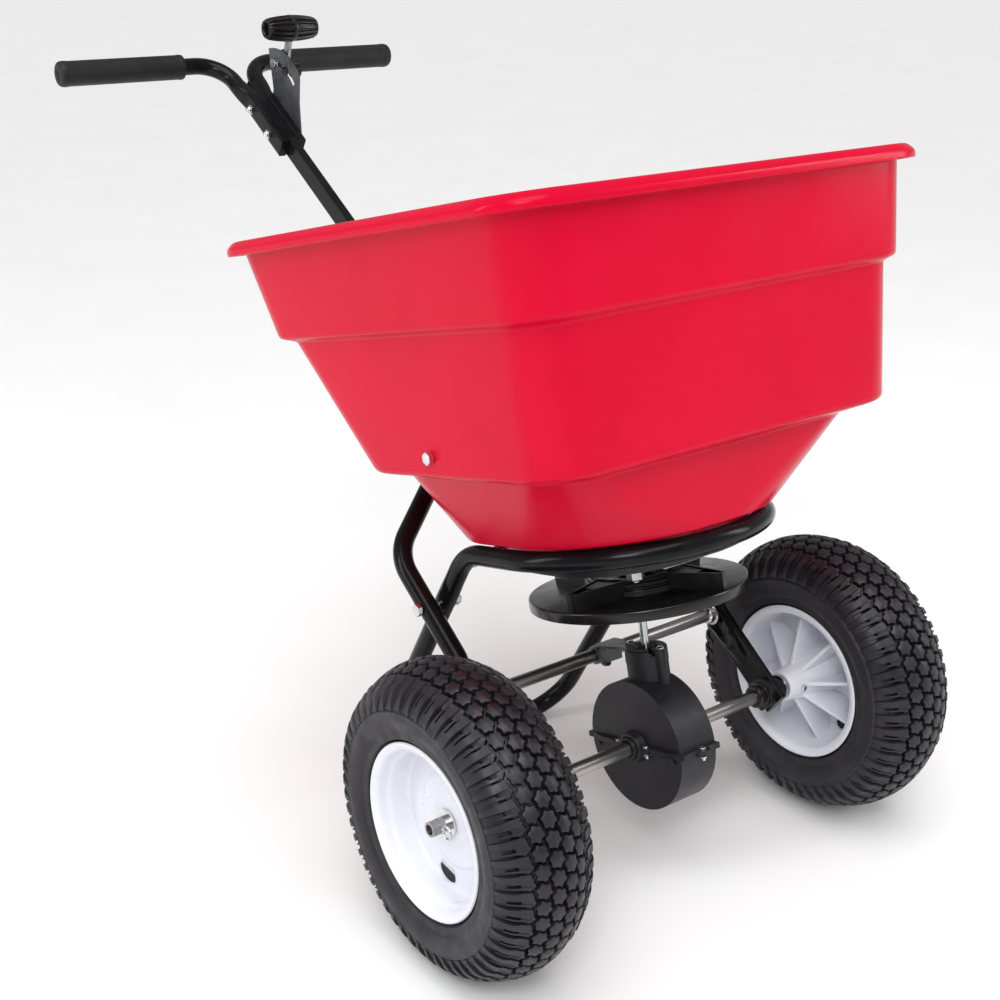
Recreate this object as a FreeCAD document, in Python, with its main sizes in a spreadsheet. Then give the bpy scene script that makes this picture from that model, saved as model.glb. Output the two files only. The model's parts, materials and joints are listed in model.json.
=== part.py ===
import FreeCAD, Part
import math
import os
import re
import Sketcher
from FreeCAD import Placement, Rotation, Vector

# Walk-behind broadcast spreader, millimetres, +Z up, -Y front, handle towards +Y.
# Three working frames carry the pieces:
#   chassis - origin on the axle, +Z square to the hopper's rim; the spreader stands on its
#             wheels and stand bar, so this frame leans back by lean_angle
#   handle  - origin at the foot of the post, +Z up along the post, -Y square to it
#   spinner - the chassis frame turned about the vertical shaft, so the vanes start at vane_turn

SIZES = [
    ("lean_angle", 13.5), ("origin_shift", -371.0),
    # wheels and axle
    ("wheel_radius", 165.0), ("track_half", 265.0), ("axle_radius", 7.95), ("axle_bore", 5.4),
    ("axle_half", 304.4), ("run_gap", 0.05), ("snug_gap", 0.02), ("plate_gap", 0.1),
    ("tyre_half", 52.0), ("tyre_wall", 8.5),
    ("bead_radius", 86.2), ("flange_radius", 93.2), ("rim_half", 51.0), ("rim_wall", 4.0),
    ("hub_inner", 69.0), ("hub_outer", 17.0), ("hub_radius", 20.0),
    ("disc_inner", 5.0), ("disc_outer", 11.0),
    ("rib_thick", 4.0), ("rib_count", 8), ("valve_hole", 11.0), ("valve_place", 64.0),
    ("valve_radius", 4.0), ("valve_length", 26.0), ("valve_side", 24.0), ("valve_turn", 22.5),
    ("pin_radius", 2.5), ("drive_pin_place", 211.0),
    ("hair_pin_radius", 1.6), ("hair_pin_place", 295.0), ("washer_radius", 15.0),
    # tubes of the frame
    ("tube_radius", 11.1), ("tube_wall", 1.6), ("hoop_radius", 152.0), ("hoop_front", 12.0),
    ("hoop_height", 236.0), ("leg_top", 91.4), ("leg_angle", 43.6), ("leg_length", 418.5),
    ("leg_bend", 60.0), ("bar_bend", 55.0),
    ("rail_place", 174.5), ("rail_angle", 40.0), ("rail_knee", 303.0), ("rail_bend", 60.0),
    ("rail_meet", 185.0), ("rail_end", 246.0), ("rail_top_bend", 45.0), ("plate_width", 36.0),
    ("plate_thick", 9.0), ("plate_length", 122.5), ("plate_taper", 29.5),
    ("rod_radius", 7.5), ("rod_along", 113.5), ("clamp_radius", 4.0), ("clamp_along", 230.5),
    ("crossbar_radius", 8.0), ("crossbar_back", 112.0), ("crossbar_height", 222.2),
    ("bush_radius", 13.0), ("bush_flange", 17.0), ("bush_start", 160.0), ("bush_end", 190.0),
    # post and handle
    ("post_foot_y", 121.8), ("post_foot_z", 230.0), ("post_angle", 44.0), ("post_thick", 12.0),
    ("post_width", 22.0), ("post_wall", 1.5), ("post_start", -4.3), ("post_end", 800.0),
    ("bar_start", 672.0), ("bar_flat_end", 778.0), ("bar_round_start", 800.0),
    ("bar_thick", 12.0), ("bar_width", 26.0), ("grip_height", 852.0), ("grip_bend", 50.0),
    ("grip_start", 78.0), ("grip_end", 252.0), ("grip_radius", 16.5), ("grip_cap", 4.0),
    ("low_bolt", 702.0), ("pivot_bolt", 754.0), ("bolt_radius", 3.1), ("nut_across", 11.0),
    ("nut_high", 5.5), ("rail_bolt", 216.0),
    ("frame_nut_across", 13.0), ("frame_nut_high", 6.5), ("bolt_proud", 9.0),
    # gate lever and rate gauge
    ("gauge_thick", 2.0), ("slot_arc", 58.0), ("slot_half", 3.4), ("lever_thick", 4.0),
    ("lever_width", 12.0), ("lever_long", 111.0), ("lever_tip", 6.0), ("lever_lean", 13.5),
    ("crank_long", 36.0),
    ("crank_back", 11.0), ("lever_side", 22.0), ("knob_radius", 17.5), ("knob_length", 76.0),
    ("stop_angle", 3.0), ("stop_radius", 9.0), ("link_side", 29.0), ("link_radius", 3.0),
    ("link_eye", 4.3), ("link_foot", 30.0),
    # hopper
    ("hopper_floor", 217.0), ("wall", 3.6), ("rim_top", 594.5),
    ("shaft_hole", 7.0), ("outlet_radius", 13.0), ("outlet_place", 48.0),
    ("tie_height", 359.5), ("tie_back", 3.0), ("tie_radius", 4.0),
    ("tie_half", 239.4), ("tie_head", 6.0), ("tie_across", 12.0),
    # gate and base plate
    ("base_radius", 100.0), ("tab_half", 12.0), ("base_back", 12.0), ("base_under", 213.0),
    ("base_thick", 3.0), ("screw_place", 62.0), ("screw_shift", 4.0), ("slide_gap", 0.3),
    ("gate_top", 211.6), ("gate_thick", 2.6), ("gate_half", 42.0), ("gate_front", 96.0),
    ("gate_rear", 180.0), ("gate_travel", 9.6), ("guide_wide", 8.0),
    # gearbox, spinner
    ("case_radius", 72.0), ("case_left", -32.0), ("case_right", 18.0), ("case_wall", 3.2),
    ("boss_radius", 14.0), ("boss_reach", 8.0), ("collar_radius", 23.0), ("collar_top", 97.0),
    ("lug_place", 24.0), ("lug_radius", 6.0), ("screw_radius", 2.0), ("screw_head", 3.7),
    ("ear_place", 78.0), ("ear_radius", 9.0), ("flange_half", 3.0),
    ("shaft_radius", 4.75), ("shaft_foot", 38.0), ("shaft_top", 262.0),
    ("disc_top", 174.0), ("disc_radius", 118.8), ("disc_lip", 12.0), ("disc_thick", 3.0),
    ("drum_radius", 47.0), ("vane_top", 192.0), ("vane_start", 46.0), ("vane_end", 113.0),
    ("vane_thick", 2.6), ("vane_count", 4), ("vane_turn", 10.0),
    ("roll_pin_radius", 1.5), ("roll_pin_drop", 17.0),
    ("gear_teeth", 60), ("pinion_teeth", 12), ("gear_radius", 52.5),
    ("face_width", 9.0), ("bracket_half", 17.0), ("bracket_thick", 3.0),
]
ALIASES = {alias for alias, _ in SIZES}
# hopper sections from the floor up:
# height, half width, front, rear, front corner radius, rear corner radius
HOPPER_SECTIONS = [
    (217.0, 118.0, 106.0, 100.0, 92.0, 80.0),
    (240.0, 131.0, 120.0, 110.0, 114.0, 85.0),
    (247.4, 139.0, 127.0, 116.0, 126.0, 78.0),
    (251.0, 160.0, 143.0, 124.0, 142.0, 74.0),
    (332.0, 205.3, 161.2, 133.8, 60.0, 60.0),
    (339.5, 233.3, 189.2, 149.8, 52.0, 52.0),
    (480.0, 242.7, 200.9, 256.6, 52.0, 52.0),
    (485.3, 252.3, 209.9, 276.9, 52.0, 52.0),
    (580.0, 258.7, 217.7, 310.6, 52.0, 52.0),
]
RIM_SECTION = (579.0, 275.8, 232.4, 326.3, 60.0, 60.0)

doc = FreeCAD.newDocument("garden_spreader")
dims = doc.addObject("Spreadsheet::Sheet", "dims")
for row, (alias, size) in enumerate(SIZES, start=1):
    dims.set(f"A{row}", alias)
    dims.set(f"B{row}", str(size))
    dims.setAlias(f"B{row}", alias)
doc.recompute()

NODES = []
TURN_TO = {
    "X": Rotation(Vector(0, 1, 0), 90),
    "Y": Rotation(Vector(1, 0, 0), -90),
    "Z": Rotation(),
}


# ---- reading the sheet -------------------------------------------------------------------

def words(expression):
    """The expression with every alias written as the sheet's own cell."""
    return re.sub(r"[a-z]+(_[a-z]+)+|wall",
                  lambda found: "dims." + found.group(0) if found.group(0) in ALIASES
                  else found.group(0), str(expression))


def value(expression):
    """The number an expression stands for."""
    return float(dims.evalExpression(words(expression)))


def bind(target, path, expression):
    target.setExpression(path, words(expression))


def put(target, start, turn=Rotation()):
    """Place a primitive, with each coordinate bound to the sheet."""
    target.Placement = Placement(Vector(*[value(part) for part in start]), turn)
    for axis, part in zip("xyz", start):
        bind(target, f"Placement.Base.{axis}", part)
    return target


def add_frame(name, expression):
    frame = doc.addObject("App::Placement", name)
    frame.setExpression("Placement", words(expression))
    doc.recompute()
    return name


CHASSIS = add_frame("chassis_frame", "placement(vector(0; origin_shift; wheel_radius);"
                                     " rotation(vector(1; 0; 0); -lean_angle))")
HANDLE = add_frame("handle_frame", "chassis_frame.Placement *"
                                   " placement(vector(0; post_foot_y; post_foot_z);"
                                   " rotation(vector(1; 0; 0); -post_angle))")
SPINNER = add_frame("spinner_frame", "chassis_frame.Placement * placement(vector(0; 0; 0);"
                                     " rotation(vector(0; 0; 1); vane_turn))")
CROWN = add_frame("crown_frame", "chassis_frame.Placement * placement(vector(0; 0; 0);"
                                 " rotation(vector(0; 1; 0); -90))")
DRIVE_WHEEL = add_frame("drive_wheel_frame", "chassis_frame.Placement *"
                                             " placement(vector(track_half; 0; 0);"
                                             " rotation(vector(1; 0; 0); 0))")
FREE_WHEEL = add_frame("free_wheel_frame", "chassis_frame.Placement *"
                                           " placement(vector(-track_half; 0; 0);"
                                           " rotation(vector(0; 0; 1); 180))")


def keep(target, label, frame=CHASSIS):
    """Name a finished piece and stand it in its frame."""
    target.Label = label
    target.setExpression("Placement", frame + ".Placement")
    NODES.append(target)
    return target


# ---- primitives and booleans -------------------------------------------------------------

def cylinder(radius, length, start, axis="Z"):
    made = doc.addObject("Part::Cylinder", "rod")
    bind(made, "Radius", radius)
    bind(made, "Height", length)
    return put(made, start, TURN_TO[axis])


def box(size, corner):
    made = doc.addObject("Part::Box", "block")
    for path, length in zip(("Length", "Width", "Height"), size):
        bind(made, path, length)
    return put(made, corner)


def hexagon(across, length, start, axis="Z"):
    """A six-sided prism, across its flats."""
    made = doc.addObject("Part::Prism", "hexagon")
    made.Polygon = 6
    bind(made, "Circumradius", f"({across}) / 2 / cos(30)")
    bind(made, "Height", length)
    return put(made, start, TURN_TO[axis])


def ball(radius, centre):
    made = doc.addObject("Part::Sphere", "ball")
    bind(made, "Radius", radius)
    return put(made, centre)


def fuse(*pieces):
    made = doc.addObject("Part::MultiFuse", "joined")
    made.Shapes = list(pieces)
    return made


def cut(base, *tools):
    made = doc.addObject("Part::Cut", "trimmed")
    made.Base = base
    made.Tool = tools[0] if len(tools) == 1 else fuse(*tools)
    return made


def common(first, second):
    made = doc.addObject("Part::MultiCommon", "shared")
    made.Shapes = [first, second]
    return made


def together(*pieces):
    made = doc.addObject("Part::Compound", "set")
    made.Links = list(pieces)
    return made


def feature(shape, name="shaped"):
    made = doc.addObject("Part::Feature", name)
    made.Shape = shape
    return made


# ---- PartDesign --------------------------------------------------------------------------

def start_body(label, frame=CHASSIS):
    body = doc.addObject("PartDesign::Body", "body")
    return keep(body, label, frame)


def origin_part(body, role):
    return next(part for part in body.Origin.OriginFeatures if part.Role == role)


def draw_loop(sketch, points):
    """A closed loop of lines and arcs; a point with a third value starts an arc of that
    radius, bulging to the right of the way the loop runs when it is positive."""
    places = [Vector(value(point[0]), value(point[1]), 0) for point in points]
    first = sketch.GeometryCount
    count = len(points)
    ends = []
    for index, point in enumerate(points):
        start, end = places[index], places[(index + 1) % count]
        if len(point) == 2:
            sketch.addGeometry(Part.LineSegment(start, end))
            ends.append((1, 2))
            continue
        radius = value(point[2])
        chord = end - start
        side = Vector(chord.y, -chord.x, 0).normalize()
        rise = math.sqrt(max(radius ** 2 - (chord.Length / 2) ** 2, 0))
        bulge = abs(radius) - rise
        middle = (start + end) / 2 + side * math.copysign(bulge, radius)
        arc = Part.Arc(start, middle, end).toShape().Curve
        angles = [math.atan2(p.y - arc.Center.y, p.x - arc.Center.x) for p in (start, end)]
        if radius > 0:
            sketch.addGeometry(Part.ArcOfCircle(
                Part.Circle(arc.Center, Vector(0, 0, 1), abs(radius)), angles[0], angles[1]))
            ends.append((1, 2))
        else:
            sketch.addGeometry(Part.ArcOfCircle(
                Part.Circle(arc.Center, Vector(0, 0, 1), abs(radius)), angles[1], angles[0]))
            ends.append((2, 1))
    for index in range(count):
        after = (index + 1) % count
        sketch.addConstraint(Sketcher.Constraint(
            "Coincident", first + index, ends[index][1], first + after, ends[after][0]))
    for index, point in enumerate(points):
        for kind, place, part in (("DistanceX", places[index].x, point[0]),
                                  ("DistanceY", places[index].y, point[1])):
            number = sketch.addConstraint(Sketcher.Constraint(
                kind, -1, 1, first + index, ends[index][0], place))
            bind(sketch, f"Constraints[{number}]", part)
        if len(point) == 3:
            number = sketch.addConstraint(Sketcher.Constraint(
                "Radius", first + index, abs(value(point[2]))))
            bind(sketch, f"Constraints[{number}]", f"abs({point[2]})")


def draw_circle(sketch, across, up, radius):
    centre = Vector(value(across), value(up), 0)
    index = sketch.addGeometry(Part.Circle(centre, Vector(0, 0, 1), value(radius)))
    for kind, place, part in (("DistanceX", centre.x, across), ("DistanceY", centre.y, up)):
        number = sketch.addConstraint(Sketcher.Constraint(kind, -1, 1, index, 3, place))
        bind(sketch, f"Constraints[{number}]", part)
    number = sketch.addConstraint(Sketcher.Constraint("Radius", index, value(radius)))
    bind(sketch, f"Constraints[{number}]", radius)


def draw(body, plane, loops=(), circles=(), offset="0"):
    """A sketch on one of the body's own planes."""
    sketch = body.newObject("Sketcher::SketchObject", "outline")
    sketch.AttachmentSupport = [(origin_part(body, plane), "")]
    sketch.MapMode = "FlatFace"
    sketch.AttachmentOffset = Placement(Vector(0, 0, value(offset)), Rotation())
    bind(sketch, "AttachmentOffset.Base.z", offset)
    for loop in loops:
        draw_loop(sketch, loop)
    for circle in circles:
        draw_circle(sketch, *circle)
    return sketch


def revolve(body, sketch, axis):
    made = body.newObject("PartDesign::Revolution", "turned")
    made.Profile = sketch
    made.ReferenceAxis = (sketch, [axis])
    made.Angle = 360
    return made


def pad(body, sketch, length, middle=False):
    made = body.newObject("PartDesign::Pad", "raised")
    made.Profile = sketch
    bind(made, "Length", length)
    made.Midplane = middle
    return made


def drill(body, sketch):
    """A pocket through the whole body, both ways; it must take material away."""
    doc.recompute()
    before = body.Shape.Volume
    made = body.newObject("PartDesign::Pocket", "hole")
    made.Profile = sketch
    made.Type = 1
    made.Midplane = True
    doc.recompute()
    if body.Shape.Volume >= before - 1e-3:
        raise RuntimeError(f"the hole in {body.Label} cuts nothing")
    return made


def ring_of(body, features, axis_role, count):
    made = body.newObject("PartDesign::PolarPattern", "ring")
    made.Originals = list(features)
    made.Axis = (origin_part(body, axis_role), [""])
    made.Angle = 360
    bind(made, "Occurrences", count)
    body.Tip = made
    return made


# ---- bent tubes --------------------------------------------------------------------------

def route(points, bends, closed=False):
    """A wire of straight runs joined by tangent arcs, one bend radius for each inner point."""
    edges = []
    count = len(points)
    corners = range(count) if closed else range(1, count - 1)
    leaves = {0: points[0]}
    arrives = {count - 1: points[-1]}
    for corner in corners:
        here = points[corner]
        back = (points[corner - 1] - here).normalize()
        ahead = (points[(corner + 1) % count] - here).normalize()
        turn = math.pi - back.getAngle(ahead)
        radius = bends[corner if closed else corner - 1]
        reach = radius * math.tan(turn / 2)
        arrives[corner] = here + back * reach
        leaves[corner] = here + ahead * reach
        centre_way = (back + ahead).normalize()
        middle = here + centre_way * (radius / math.cos(turn / 2) - radius)
        edges.append((corner, Part.Arc(arrives[corner], middle, leaves[corner]).toShape()))
    arcs = dict(edges)
    ordered = []
    for index in range(count if closed else count - 1):
        if index in arcs:
            ordered.append(arcs[index])
        start, end = leaves[index], arrives[(index + 1) % count]
        if (end - start).Length > 1e-6:
            ordered.append(Part.makeLine(start, end))
    return Part.Wire(ordered)


def rod_along(wire, radius):
    """A solid round bar along a wire."""
    first = wire.OrderedEdges[0]
    start = first.valueAt(first.FirstParameter)
    heading = first.tangentAt(first.FirstParameter)
    ring = Part.Wire([Part.makeCircle(radius, start, heading)])
    shell = wire.makePipeShell([ring], not wire.isClosed(), False, 1)
    solid = shell if shell.ShapeType == "Solid" else Part.Solid(Part.Shell(shell.Faces))
    if solid.Volume < 0:
        solid.reverse()
    return solid


def tube_along(wire, radius, thickness):
    return rod_along(wire, radius).cut(rod_along(wire, radius - thickness))


def point_on_post(along):
    """A chassis-frame point on the post's middle line."""
    angle = math.radians(value("post_angle"))
    return Vector(0, value("post_foot_y") + along * math.sin(angle),
                  value("post_foot_z") + along * math.cos(angle))


def point_on_rail(along, side):
    """A chassis-frame point on the straight lower part of a side rail."""
    angle = math.radians(value("rail_angle"))
    return Vector(side * value("rail_place"), along * math.cos(math.radians(90) - angle),
                  along * math.cos(angle))


# ---- frame -------------------------------------------------------------------------------

def make_stand_tube():
    """One tube: the half hoop under the hopper, the two legs and the bar on the ground."""
    hoop = value("hoop_radius")
    height = value("hoop_height")
    angle = math.radians(value("leg_angle"))
    length = value("leg_length")
    back, foot_back = value("leg_top"), value("leg_top") + length * math.sin(angle)
    foot = height - length * math.cos(angle)
    rear = value("hoop_front")
    tangent = hoop * math.tan(math.radians(45))
    points = [Vector(hoop, foot_back, foot), Vector(hoop, back, height),
              Vector(hoop, rear - tangent, height), Vector(-hoop, rear - tangent, height),
              Vector(-hoop, back, height), Vector(-hoop, foot_back, foot)]
    bends = [value("bar_bend"), value("leg_bend"), hoop - 0.5, hoop - 0.5,
             value("leg_bend"), value("bar_bend")]
    wire = route(points, bends, closed=True)
    tube = tube_along(wire, value("tube_radius"), value("tube_wall"))
    for side in (-1, 1):
        hole_at = point_on_rail(value("clamp_along"), side)
        start = Vector(side * (hoop - 30), hole_at.y, hole_at.z)
        tube = tube.cut(Part.makeCylinder(value("clamp_radius + plate_gap"), 60,
                                          start, Vector(side, 0, 0)))
    socket = Part.makeCylinder(
        value("crossbar_radius + run_gap"), 2 * hoop - 4,
        Vector(2 - hoop, value("crossbar_back"), value("crossbar_height")), Vector(1, 0, 0))
    keep(feature(tube.cut(socket)), "stand_tube")


def make_crossbar():
    keep(together(cylinder("crossbar_radius", "2 * hoop_radius - 6",
                           ("-hoop_radius + 3", "crossbar_back", "crossbar_height"), "X")),
         "rear_crossbar")


def flat_plate(thickness, width, length):
    """A flat bar along +Z, square to X, with its cut foot half a width below the origin."""
    half = width / 2
    return Part.makeBox(thickness, width, length + half, Vector(-thickness / 2, -half, -half))


def make_side_rail(side, label):
    """A tube bolted to the post, bent round the hopper and pressed flat down to the axle."""
    radius = value("tube_radius")
    length, taper = value("plate_length"), value("plate_taper")
    thick, width = value("plate_thick"), value("plate_width")
    plate = flat_plate(thick, width, length)
    plate = plate.cut(Part.makeCylinder(value("bush_radius + run_gap"), 40,
                                        Vector(-20, 0, 0), Vector(1, 0, 0)))
    plate = plate.cut(Part.makeCylinder(value("clamp_radius + plate_gap"), 40,
                                        Vector(-20, 0, value("rod_along")), Vector(1, 0, 0)))
    groove = Part.makeBox(4, width / 2.6, length * 0.55,
                          Vector(-side * thick / 2 - 2, -width / 5.2, length * 0.28))
    plate = plate.cut(groove)
    corners = [Vector(x * thick / 2, y * width / 2, length)
               for x, y in ((1, 1), (-1, 1), (-1, -1), (1, -1))]
    flat_end = Part.makePolygon(corners + corners[:1])
    round_end = Part.Wire([Part.makeCircle(radius, Vector(0, 0, length + taper))])
    neck = Part.makeLoft([flat_end, round_end], True, True)
    tilt = Placement(Vector(side * value("rail_place"), 0, 0),
                     Rotation(Vector(1, 0, 0), value("rail_angle") * -1))
    lower = plate.fuse(neck)
    lower.Placement = tilt
    beside_post = side * (value("post_thick") / 2 + radius + 2 * value("run_gap"))
    knee = point_on_rail(value("rail_knee"), side)
    meet = point_on_post(value("rail_meet"))
    top = point_on_post(value("rail_end"))
    meet.x = top.x = beside_post
    start = point_on_rail(length + taper, side)
    tube = tube_along(route([start, knee, meet, top],
                            [value("rail_bend"), value("rail_top_bend")]),
                      radius, value("tube_wall"))
    rail = lower.fuse(tube)
    clamp = point_on_rail(value("clamp_along"), side)
    clamp.x -= 20
    rail = rail.cut(Part.makeCylinder(value("clamp_radius + plate_gap"), 40, clamp,
                                      Vector(1, 0, 0)))
    bolt = point_on_post(value("rail_bolt"))
    bolt.x = -60
    rail = rail.cut(Part.makeCylinder(value("clamp_radius + plate_gap"), 120, bolt,
                                      Vector(1, 0, 0)))
    keep(feature(rail), label)


def along_rail(along):
    """Expressions for the height and depth of a point on the rail, square to the axle."""
    return (f"({along}) * sin(rail_angle * 1 deg)", f"({along}) * cos(rail_angle * 1 deg)")


def make_cross_rod():
    depth, height = along_rail("rod_along")
    inner = "rail_place - plate_thick / 2"
    rod = cylinder("rod_radius", f"2 * ({inner}) - 2 * run_gap",
                   (f"run_gap - ({inner})", depth, height), "X")
    tapped = cylinder("clamp_radius + run_gap", "2 * rail_place",
                      ("-rail_place", depth, height), "X")
    keep(cut(rod, tapped), "cross_rod")
    bolts = []
    for side in (-1, 1):
        outer = "rail_place + plate_thick / 2 + run_gap"
        reach = "44"
        start = f"{outer} - {reach}" if side > 0 else f"-({outer})"
        head = outer if side > 0 else f"-({outer}) - nut_high"
        bolts.append(fuse(cylinder("clamp_radius", reach, (start, depth, height), "X"),
                          hexagon("frame_nut_across", "nut_high", (head, depth, height), "X")))
    keep(together(*bolts), "cross_rod_bolts")


def make_clamp_bolts():
    """The bolts through each side rail and stand leg, with the nuts on the legs' inner side."""
    depth, height = along_rail("clamp_along")
    inner = "hoop_radius - tube_radius - run_gap"
    outer = "rail_place + tube_radius + run_gap"
    bolts = []
    for side in (-1, 1):
        low = f"{inner} - bolt_proud" if side > 0 else f"-({outer})"
        head = outer if side > 0 else f"-({outer}) - nut_high"
        nut = f"{inner} - frame_nut_high" if side > 0 else f"-({inner})"
        bolts.append(fuse(
            cylinder("clamp_radius", f"{outer} - ({inner}) + bolt_proud",
                     (low, depth, height), "X"),
            hexagon("frame_nut_across", "nut_high", (head, depth, height), "X"),
            hexagon("frame_nut_across", "frame_nut_high", (nut, depth, height), "X")))
    keep(together(*bolts), "clamp_bolts")


def make_axle_bush(side, label):
    """A plastic bearing in the foot of a side rail, with its flange on the inner side."""
    sleeve_start = "bush_start" if side > 0 else "-bush_end"
    flange_start = "bush_start" if side > 0 else "-(rail_place - plate_thick / 2 - run_gap)"
    flange_long = "rail_place - plate_thick / 2 - run_gap - bush_start"
    sleeve = cylinder("bush_radius", "bush_end - bush_start", (sleeve_start, 0, 0), "X")
    flange = hexagon("2 * bush_flange", flange_long, (flange_start, 0, 0), "X")
    bore = cylinder("axle_radius + run_gap", "bush_end - bush_start + 2",
                    (f"{sleeve_start} - 1", 0, 0), "X")
    keep(cut(fuse(sleeve, flange), bore), label)


def make_post():
    """The flat-sided tube that carries the handle, open at both ends."""
    body = start_body("handle_post", HANDLE)
    outer = rectangle("post_thick / 2", "post_width / 2")
    inner = rectangle("post_thick / 2 - post_wall", "post_width / 2 - post_wall")
    sketch = draw(body, "XY_Plane", [outer, inner], offset="post_start")
    pad(body, sketch, "post_end - post_start")
    drill(body, draw(body, "YZ_Plane", circles=[
        (0, "low_bolt", "bolt_radius + run_gap"), (0, "pivot_bolt", "bolt_radius + run_gap"),
        (0, "rail_bolt", "clamp_radius + run_gap")]))


def rectangle(half_across, half_up, up="0"):
    """Corners of a rectangle about (0, up)."""
    return [(f"-({half_across})", f"{up} - ({half_up})"), (half_across, f"{up} - ({half_up})"),
            (half_across, f"{up} + ({half_up})"), (f"-({half_across})", f"{up} + ({half_up})")]


def make_rail_bolt():
    """The long bolt through both side rails and the post."""
    outer = "post_thick / 2 + 2 * tube_radius + 3 * run_gap"
    bolt = cylinder("clamp_radius", f"2 * ({outer}) + bolt_proud",
                    (f"-({outer}) - bolt_proud", 0, "rail_bolt"), "X")
    head = hexagon("frame_nut_across", "nut_high", (outer, 0, "rail_bolt"), "X")
    nut = hexagon("frame_nut_across", "frame_nut_high",
                  (f"-({outer}) - frame_nut_high", 0, "rail_bolt"), "X")
    keep(fuse(bolt, head, nut), "rail_post_bolt", HANDLE)


def make_handlebar(side, label):
    """A round tube, pressed flat where it is bolted to the post, turned out to the grip."""
    radius = value("tube_radius")
    inner = value("post_thick") / 2 + value("run_gap")
    thick, half = value("bar_thick"), value("bar_width") / 2
    start, flat_end = value("bar_start"), value("bar_flat_end")
    round_start, height = value("bar_round_start"), value("grip_height")
    flat = Part.makeBox(thick, 2 * half, flat_end - start, Vector(inner, -half, start))
    middle = inner + radius
    corners = [Vector(inner + x * thick, y * half, flat_end)
               for x, y in ((0, 1), (1, 1), (1, -1), (0, -1))]
    flat_end_wire = Part.makePolygon(corners + corners[:1])
    round_end_wire = Part.Wire([Part.makeCircle(radius, Vector(middle, 0, round_start))])
    neck = Part.makeLoft([flat_end_wire, round_end_wire], True, True)
    path = route([Vector(middle, 0, round_start), Vector(middle, 0, height),
                  Vector(value("grip_end") - value("grip_cap") - 0.5, 0, height)],
                 [value("grip_bend")])
    tube = tube_along(path, radius, value("tube_wall"))
    bar = flat.fuse([neck, tube])
    for place in ("low_bolt", "pivot_bolt"):
        bar = bar.cut(Part.makeCylinder(value("bolt_radius + run_gap"), 80,
                                        Vector(-40, 0, value(place)), Vector(1, 0, 0)))
    if side < 0:
        bar = bar.mirror(Vector(), Vector(1, 0, 0))
    keep(feature(bar), label, HANDLE)


def make_grip(side, label):
    """A soft sleeve with a closed outer end."""
    body = start_body(label, HANDLE)
    near, far = "grip_start", "grip_end"
    sign = "" if side > 0 else "-1 * "
    bore = "tube_radius + run_gap"
    loop = [(f"{sign}({near})", f"grip_height + {bore}"),
            (f"{sign}({near})", "grip_height + grip_radius"),
            (f"{sign}({far} - 3)", "grip_height + grip_radius"),
            (f"{sign}({far})", "grip_height + grip_radius - 3"),
            (f"{sign}({far})", "grip_height"),
            (f"{sign}({far} - grip_cap)", "grip_height"),
            (f"{sign}({far} - grip_cap)", f"grip_height + {bore}")]
    sketch = draw(body, "XZ_Plane", [loop])
    number = sketch.addGeometry(Part.LineSegment(Vector(-10, value("grip_height"), 0),
                                                 Vector(10, value("grip_height"), 0)), True)
    for end, place in ((1, -10), (2, 10)):
        sketch.addConstraint(Sketcher.Constraint("DistanceX", -1, 1, number, end, place))
        height = sketch.addConstraint(Sketcher.Constraint(
            "DistanceY", -1, 1, number, end, value("grip_height")))
        bind(sketch, f"Constraints[{height}]", "grip_height")
    made = body.newObject("PartDesign::Revolution", "turned")
    made.Profile = sketch
    made.ReferenceAxis = (sketch, ["Axis0"])
    made.Angle = 360


def make_handle_bolts():
    """The low bolt and the lever's pivot bolt, each with its head and acorn nut."""
    outer = "post_thick / 2 + bar_thick + 2 * run_gap"
    pieces = []
    for place, reach in (("low_bolt", "gauge_thick + run_gap"),
                         ("pivot_bolt", "lever_side - (post_thick / 2 + bar_thick)"
                                        " + lever_thick + 0.4")):
        right = f"{outer} + {reach}"
        pieces.append(fuse(
            cylinder("bolt_radius", f"{right} + {outer} + 2", (f"-({outer}) - 2", 0, place), "X"),
            hexagon("nut_across", "nut_high", (right, 0, place), "X"),
            hexagon("nut_across", "nut_high", (f"-({outer}) - nut_high", 0, place), "X"),
            ball("nut_across * 0.46", (f"-({outer}) - nut_high", 0, place))))
    keep(together(*pieces), "handle_bolts", HANDLE)


def round_the_pivot(angle, radius):
    """Sketch coordinates on the handle's side plane: rearwards and up, about the pivot."""
    return (f"-({radius}) * cos(({angle}) * 1 deg)",
            f"pivot_bolt + ({radius}) * sin(({angle}) * 1 deg)")


def make_gauge_plate():
    """The flat rate gauge: a sector about the lever's pivot with a curved slot."""
    body = start_body("gauge_plate", HANDLE)
    edge = "bar_width / 2 - 3"
    outline = [(edge, "low_bolt - 12"), (edge, "pivot_bolt + 15"), ("-17", "pivot_bolt + 18"),
               round_the_pivot(43, 78) + ("78",), round_the_pivot(-22, 78),
               ("-42", "low_bolt + 8"), ("-8", "low_bolt - 16")]
    first, last = 38, -23
    slot = [round_the_pivot(first, "slot_arc + slot_half") + ("slot_arc + slot_half",),
            round_the_pivot(last, "slot_arc + slot_half"),
            round_the_pivot(last, "slot_arc - slot_half") + ("-(slot_arc - slot_half)",),
            round_the_pivot(first, "slot_arc - slot_half")]
    sketch = draw(body, "YZ_Plane", [outline, slot],
                  offset="post_thick / 2 + bar_thick + plate_gap")
    pad(body, sketch, "gauge_thick")
    drill(body, draw(body, "YZ_Plane", circles=[
        (0, "low_bolt", "bolt_radius + run_gap"), (0, "pivot_bolt", "bolt_radius + 0.4")]))


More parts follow.
